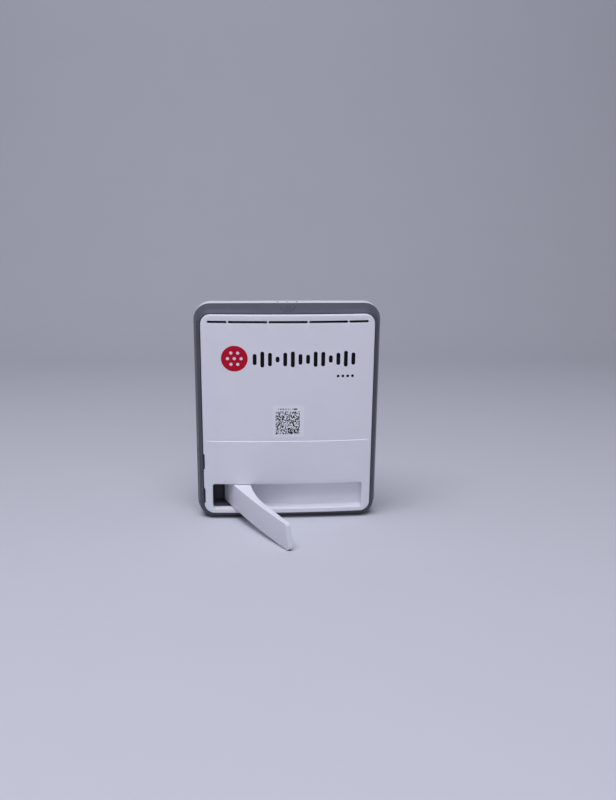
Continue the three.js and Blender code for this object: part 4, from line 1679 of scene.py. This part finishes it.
@dataclass
class Prints:
    """Flat marks on the panel: a plain dimpled disc, a row of bars, dots and the cell label."""

    shop: Workshop
    thickness: float = 0.03
    disc_x: float = -31.8
    disc_z: float = 104.1
    disc_radius: float = 7.9
    dimple_radius: float = 0.95
    dimple_pitch: float = 4.0
    bar_start: float = -19.8
    bar_pitch: float = 4.52
    bar_count: int = 14
    bar_width: float = 2.3
    bar_z: float = 103.6
    dot_start: float = 30.0
    dot_pitch: float = 2.9
    dot_count: int = 4
    dot_z: float = 92.9
    dot_radius: float = 0.85
    label_low: tuple[float, float] = (-9.2, 54.3)
    label_high: tuple[float, float] = (9.9, 74.5)
    label_thickness: float = 0.12

    def plate(self, cage: Cage, outer: Sequence[tuple], holes: Sequence[Sequence[tuple]],
              thickness: float) -> None:
        """Adds a thin closed plate that lies on the panel.

        Args:
            cage: The cage that the plate is added to.
            outer: The plate's edge, as X and Z.
            holes: The edges of its holes, as X and Z.
            thickness: How far it stands off the panel.
        """
        s = self.shop.sizes
        inner = [(x * 3.0, z * 3.0) for x in range(-18, 19) for z in range(0, 45)]
        inner = [p for p in inner if within(p, outer)]

        def front(x: float, z: float) -> float:
            """Depth of the plate's printed side."""
            return s.panel_at(x, z) - thickness

        def back(x: float, z: float) -> float:
            """Depth of the side that lies just inside the panel."""
            return s.panel_at(x, z) + 0.01

        for edge in (outer, *holes):
            cage.loft([[(x, front(x, z), z) for x, z in edge],
                       [(x, back(x, z), z) for x, z in edge]])
        cage.fill(outer, holes, inner, front)
        cage.fill(outer, holes, inner, back)

    def circle(self, x: float, z: float, radius: float, count: int = 40) -> list[tuple]:
        """Points round a circle."""
        return [(x + radius * math.cos(2 * math.pi * step / count),
                 z + radius * math.sin(2 * math.pi * step / count)) for step in range(count)]

    def disc(self) -> bpy.types.Object:
        """Red disc with seven round dimples left unprinted.

        Returns:
            The disc.
        """
        cage = Cage()
        dimples = [self.circle(self.disc_x, self.disc_z, self.dimple_radius, 20)]
        for step in range(6):
            angle = math.pi * step / 3
            dimples.append(self.circle(self.disc_x + self.dimple_pitch * math.cos(angle),
                                       self.disc_z + self.dimple_pitch * math.sin(angle),
                                       self.dimple_radius, 20))
        self.plate(cage, self.circle(self.disc_x, self.disc_z, self.disc_radius, 72), dimples,
                   self.thickness)
        return cage.finish("printed_disc", self.shop.place.body, merge_mm=0.0005)

    def bars(self) -> bpy.types.Object:
        """Dark upright bars whose heights swell and fade, and a row of dots under them.

        Returns:
            The bars and dots, as one piece.
        """
        cage = Cage()
        for index in range(self.bar_count):
            height = 3.4 + 6.4 * abs(math.sin(0.55 + index * 0.87))
            half = self.bar_width / 2
            outline = Outline(half, self.bar_z - height / 2, self.bar_z + height / 2, half * 0.99,
                              1, 3, 6, self.bar_start + index * self.bar_pitch)
            self.plate(cage, outline.points(), [], self.thickness)
        for index in range(self.dot_count):
            self.plate(cage, self.circle(self.dot_start + index * self.dot_pitch, self.dot_z,
                                         self.dot_radius, 20), [], self.thickness)
        return cage.finish("printed_bars", self.shop.place.body, merge_mm=0.0005)

    def label(self) -> bpy.types.Object:
        """White label with square cells.

        Returns:
            The label.
        """
        (ax, az), (bx, bz) = self.label_low, self.label_high
        outline = Outline((bx - ax) / 2, az, bz, 0.8, 8, 8, 5, (ax + bx) / 2)
        cage = Cage()
        self.plate(cage, outline.points(), [], self.label_thickness)
        return cage.finish("data_label", self.shop.place.body)

    def build(self) -> None:
        """Builds and mounts the prints."""
        self.shop.settle(self.disc(), "red_ink")
        self.shop.settle(self.bars(), "black_ink")
        self.shop.settle(self.label(), "label", replaces=["label_plate"], slot="label")


def dress_inner_parts(shop: Workshop) -> None:
    """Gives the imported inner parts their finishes.

    Args:
        shop: The workshop that holds the finishes.
    """
    finishes = {
        "dark_plastic": ["chassis_frame", "power_switch"],
        "mesh": ["vent_mesh"],
        "board": ["main_board", "antenna_board", "button_board"],
        "steel": ["shield_can", "usb_socket", "hinge_pin"]
                 + [f"{kind}_screw_{index}" for kind in ("board", "case") for index in range(1, 5)],
        "aluminium": ["heat_spreader"],
        "wrap": ["battery_pack"],
        "polyimide": ["flex_cable"],
        "acetal": ["hinge_bush_lower", "hinge_bush_upper"],
    }
    for finish, nodes in finishes.items():
        for node in nodes:
            shop.dress_node(node, finish)


# ---------------------------------------------------------------- studio


@dataclass(frozen=True)
class Softbox:
    """A rectangular studio light that looks at a point."""

    name: str
    place: tuple[float, float, float]
    aim: tuple[float, float, float]
    size: tuple[float, float]
    watts: float
    colour: tuple[float, float, float] = (0.89, 0.90, 1.0)

    def make(self) -> None:
        """Adds the light."""
        data = bpy.data.lights.new(self.name, "AREA")
        data.shape = "RECTANGLE"
        data.size, data.size_y = self.size
        data.energy = self.watts
        data.color = self.colour
        obj = bpy.data.objects.new(self.name, data)
        obj.location = self.place
        towards = Vector(self.aim) - Vector(self.place)
        obj.rotation_euler = towards.to_track_quat("-Z", "Y").to_euler()
        bpy.context.scene.collection.objects.link(obj)


@dataclass
class Studio:
    """Seamless pale backdrop, soft lights and the camera."""

    paper: str = "#cbccd3"
    bend_y: float = 0.62
    bend_radius: float = 0.45
    half_width: float = 3.0
    near_y: float = -3.0
    wall_top: float = 2.4
    camera_place: tuple[float, float, float] = (-0.0240, -0.57647, 0.18867)
    camera_azimuth_deg: float = -3.69
    camera_down_deg: float = 11.23
    camera_roll_deg: float = 0.18
    lens_mm: float = 42.75
    sensor_mm: float = 36.0
    lights: list[Softbox] = field(default_factory=lambda: [
        Softbox("top_softbox", (-0.15, -0.55, 1.15), (0.0, -0.1, 0.0), (1.0, 0.7), 13.6),
        Softbox("wall_softbox", (-0.1, 0.25, 1.1), (0.0, 1.07, 0.42), (0.6, 0.5), 0.75),
        Softbox("front_softbox", (0.35, -1.7, 0.7), (0.0, 0.0, 0.05), (1.2, 1.0), 3.6),
    ])

    def backdrop(self) -> None:
        """Floor that curves up into the wall."""
        profile = [(self.near_y, 0.0), (self.bend_y, 0.0)]
        profile += [(self.bend_y + self.bend_radius * math.sin(a),
                     self.bend_radius * (1 - math.cos(a))) for a in arc_steps(16)[1:]]
        profile.append((self.bend_y + self.bend_radius, self.wall_top))
        data = bpy.data.meshes.new("backdrop")
        points = [(side * self.half_width, y, z) for y, z in profile for side in (-1, 1)]
        faces = [(2 * i, 2 * i + 1, 2 * i + 3, 2 * i + 2) for i in range(len(profile) - 1)]
        data.from_pydata(points, [], faces)
        obj = bpy.data.objects.new("backdrop", data)
        bpy.context.scene.collection.objects.link(obj)
        shade(obj, 60)
        paper = Finish("backdrop_paper", self.paper, 0.85, grain_mm=1.2, grain_depth_mm=0.02,
                       mottle_mm=60, mottle=0.006, specular=0.2)
        data.materials.append(paper.make())

    def camera(self) -> None:
        """The camera, level with a slight roll."""
        data = bpy.data.cameras.new("camera")
        data.lens = self.lens_mm
        data.sensor_width = self.sensor_mm
        data.clip_start, data.clip_end = 0.01, 20
        obj = bpy.data.objects.new("camera", data)
        turn = (Matrix.Rotation(math.radians(self.camera_azimuth_deg), 4, "Z")
                @ Matrix.Rotation(QUARTER - math.radians(self.camera_down_deg), 4, "X")
                @ Matrix.Rotation(math.radians(self.camera_roll_deg), 4, "Z"))
        obj.matrix_world = Matrix.Translation(self.camera_place) @ turn
        bpy.context.scene.collection.objects.link(obj)
        bpy.context.scene.camera = obj

    def surroundings(self) -> None:
        """Dim even light from all round, and plain colour rendering."""
        scene = bpy.context.scene
        world = bpy.data.worlds.new("studio")
        world.use_nodes = True
        ambient = world.node_tree.nodes["Background"]
        ambient.inputs["Color"].default_value = (0.84, 0.86, 1.0, 1.0)
        ambient.inputs["Strength"].default_value = 0.135
        scene.world = world
        scene.view_settings.view_transform = "Standard"
        scene.view_settings.look = "None"

    def build(self) -> None:
        """Builds the whole studio."""
        self.backdrop()
        self.camera()
        self.surroundings()
        for light in self.lights:
            light.make()


def main() -> None:
    """Builds the studio and the monitor; each piece's face count is logged as it is mounted."""
    logging.basicConfig(level=logging.INFO, format="%(name)s: %(message)s")
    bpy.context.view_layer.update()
    Studio().build()
    sizes = Sizes()
    shop = Workshop(sizes, BodyFrame(sizes))
    RearCasing(shop).build()
    Bumper(shop).build()
    FrontHousing(shop).build()
    Kickstand(shop).build()
    Prints(shop).build()
    dress_inner_parts(shop)


if __name__ == "__main__":
    main()
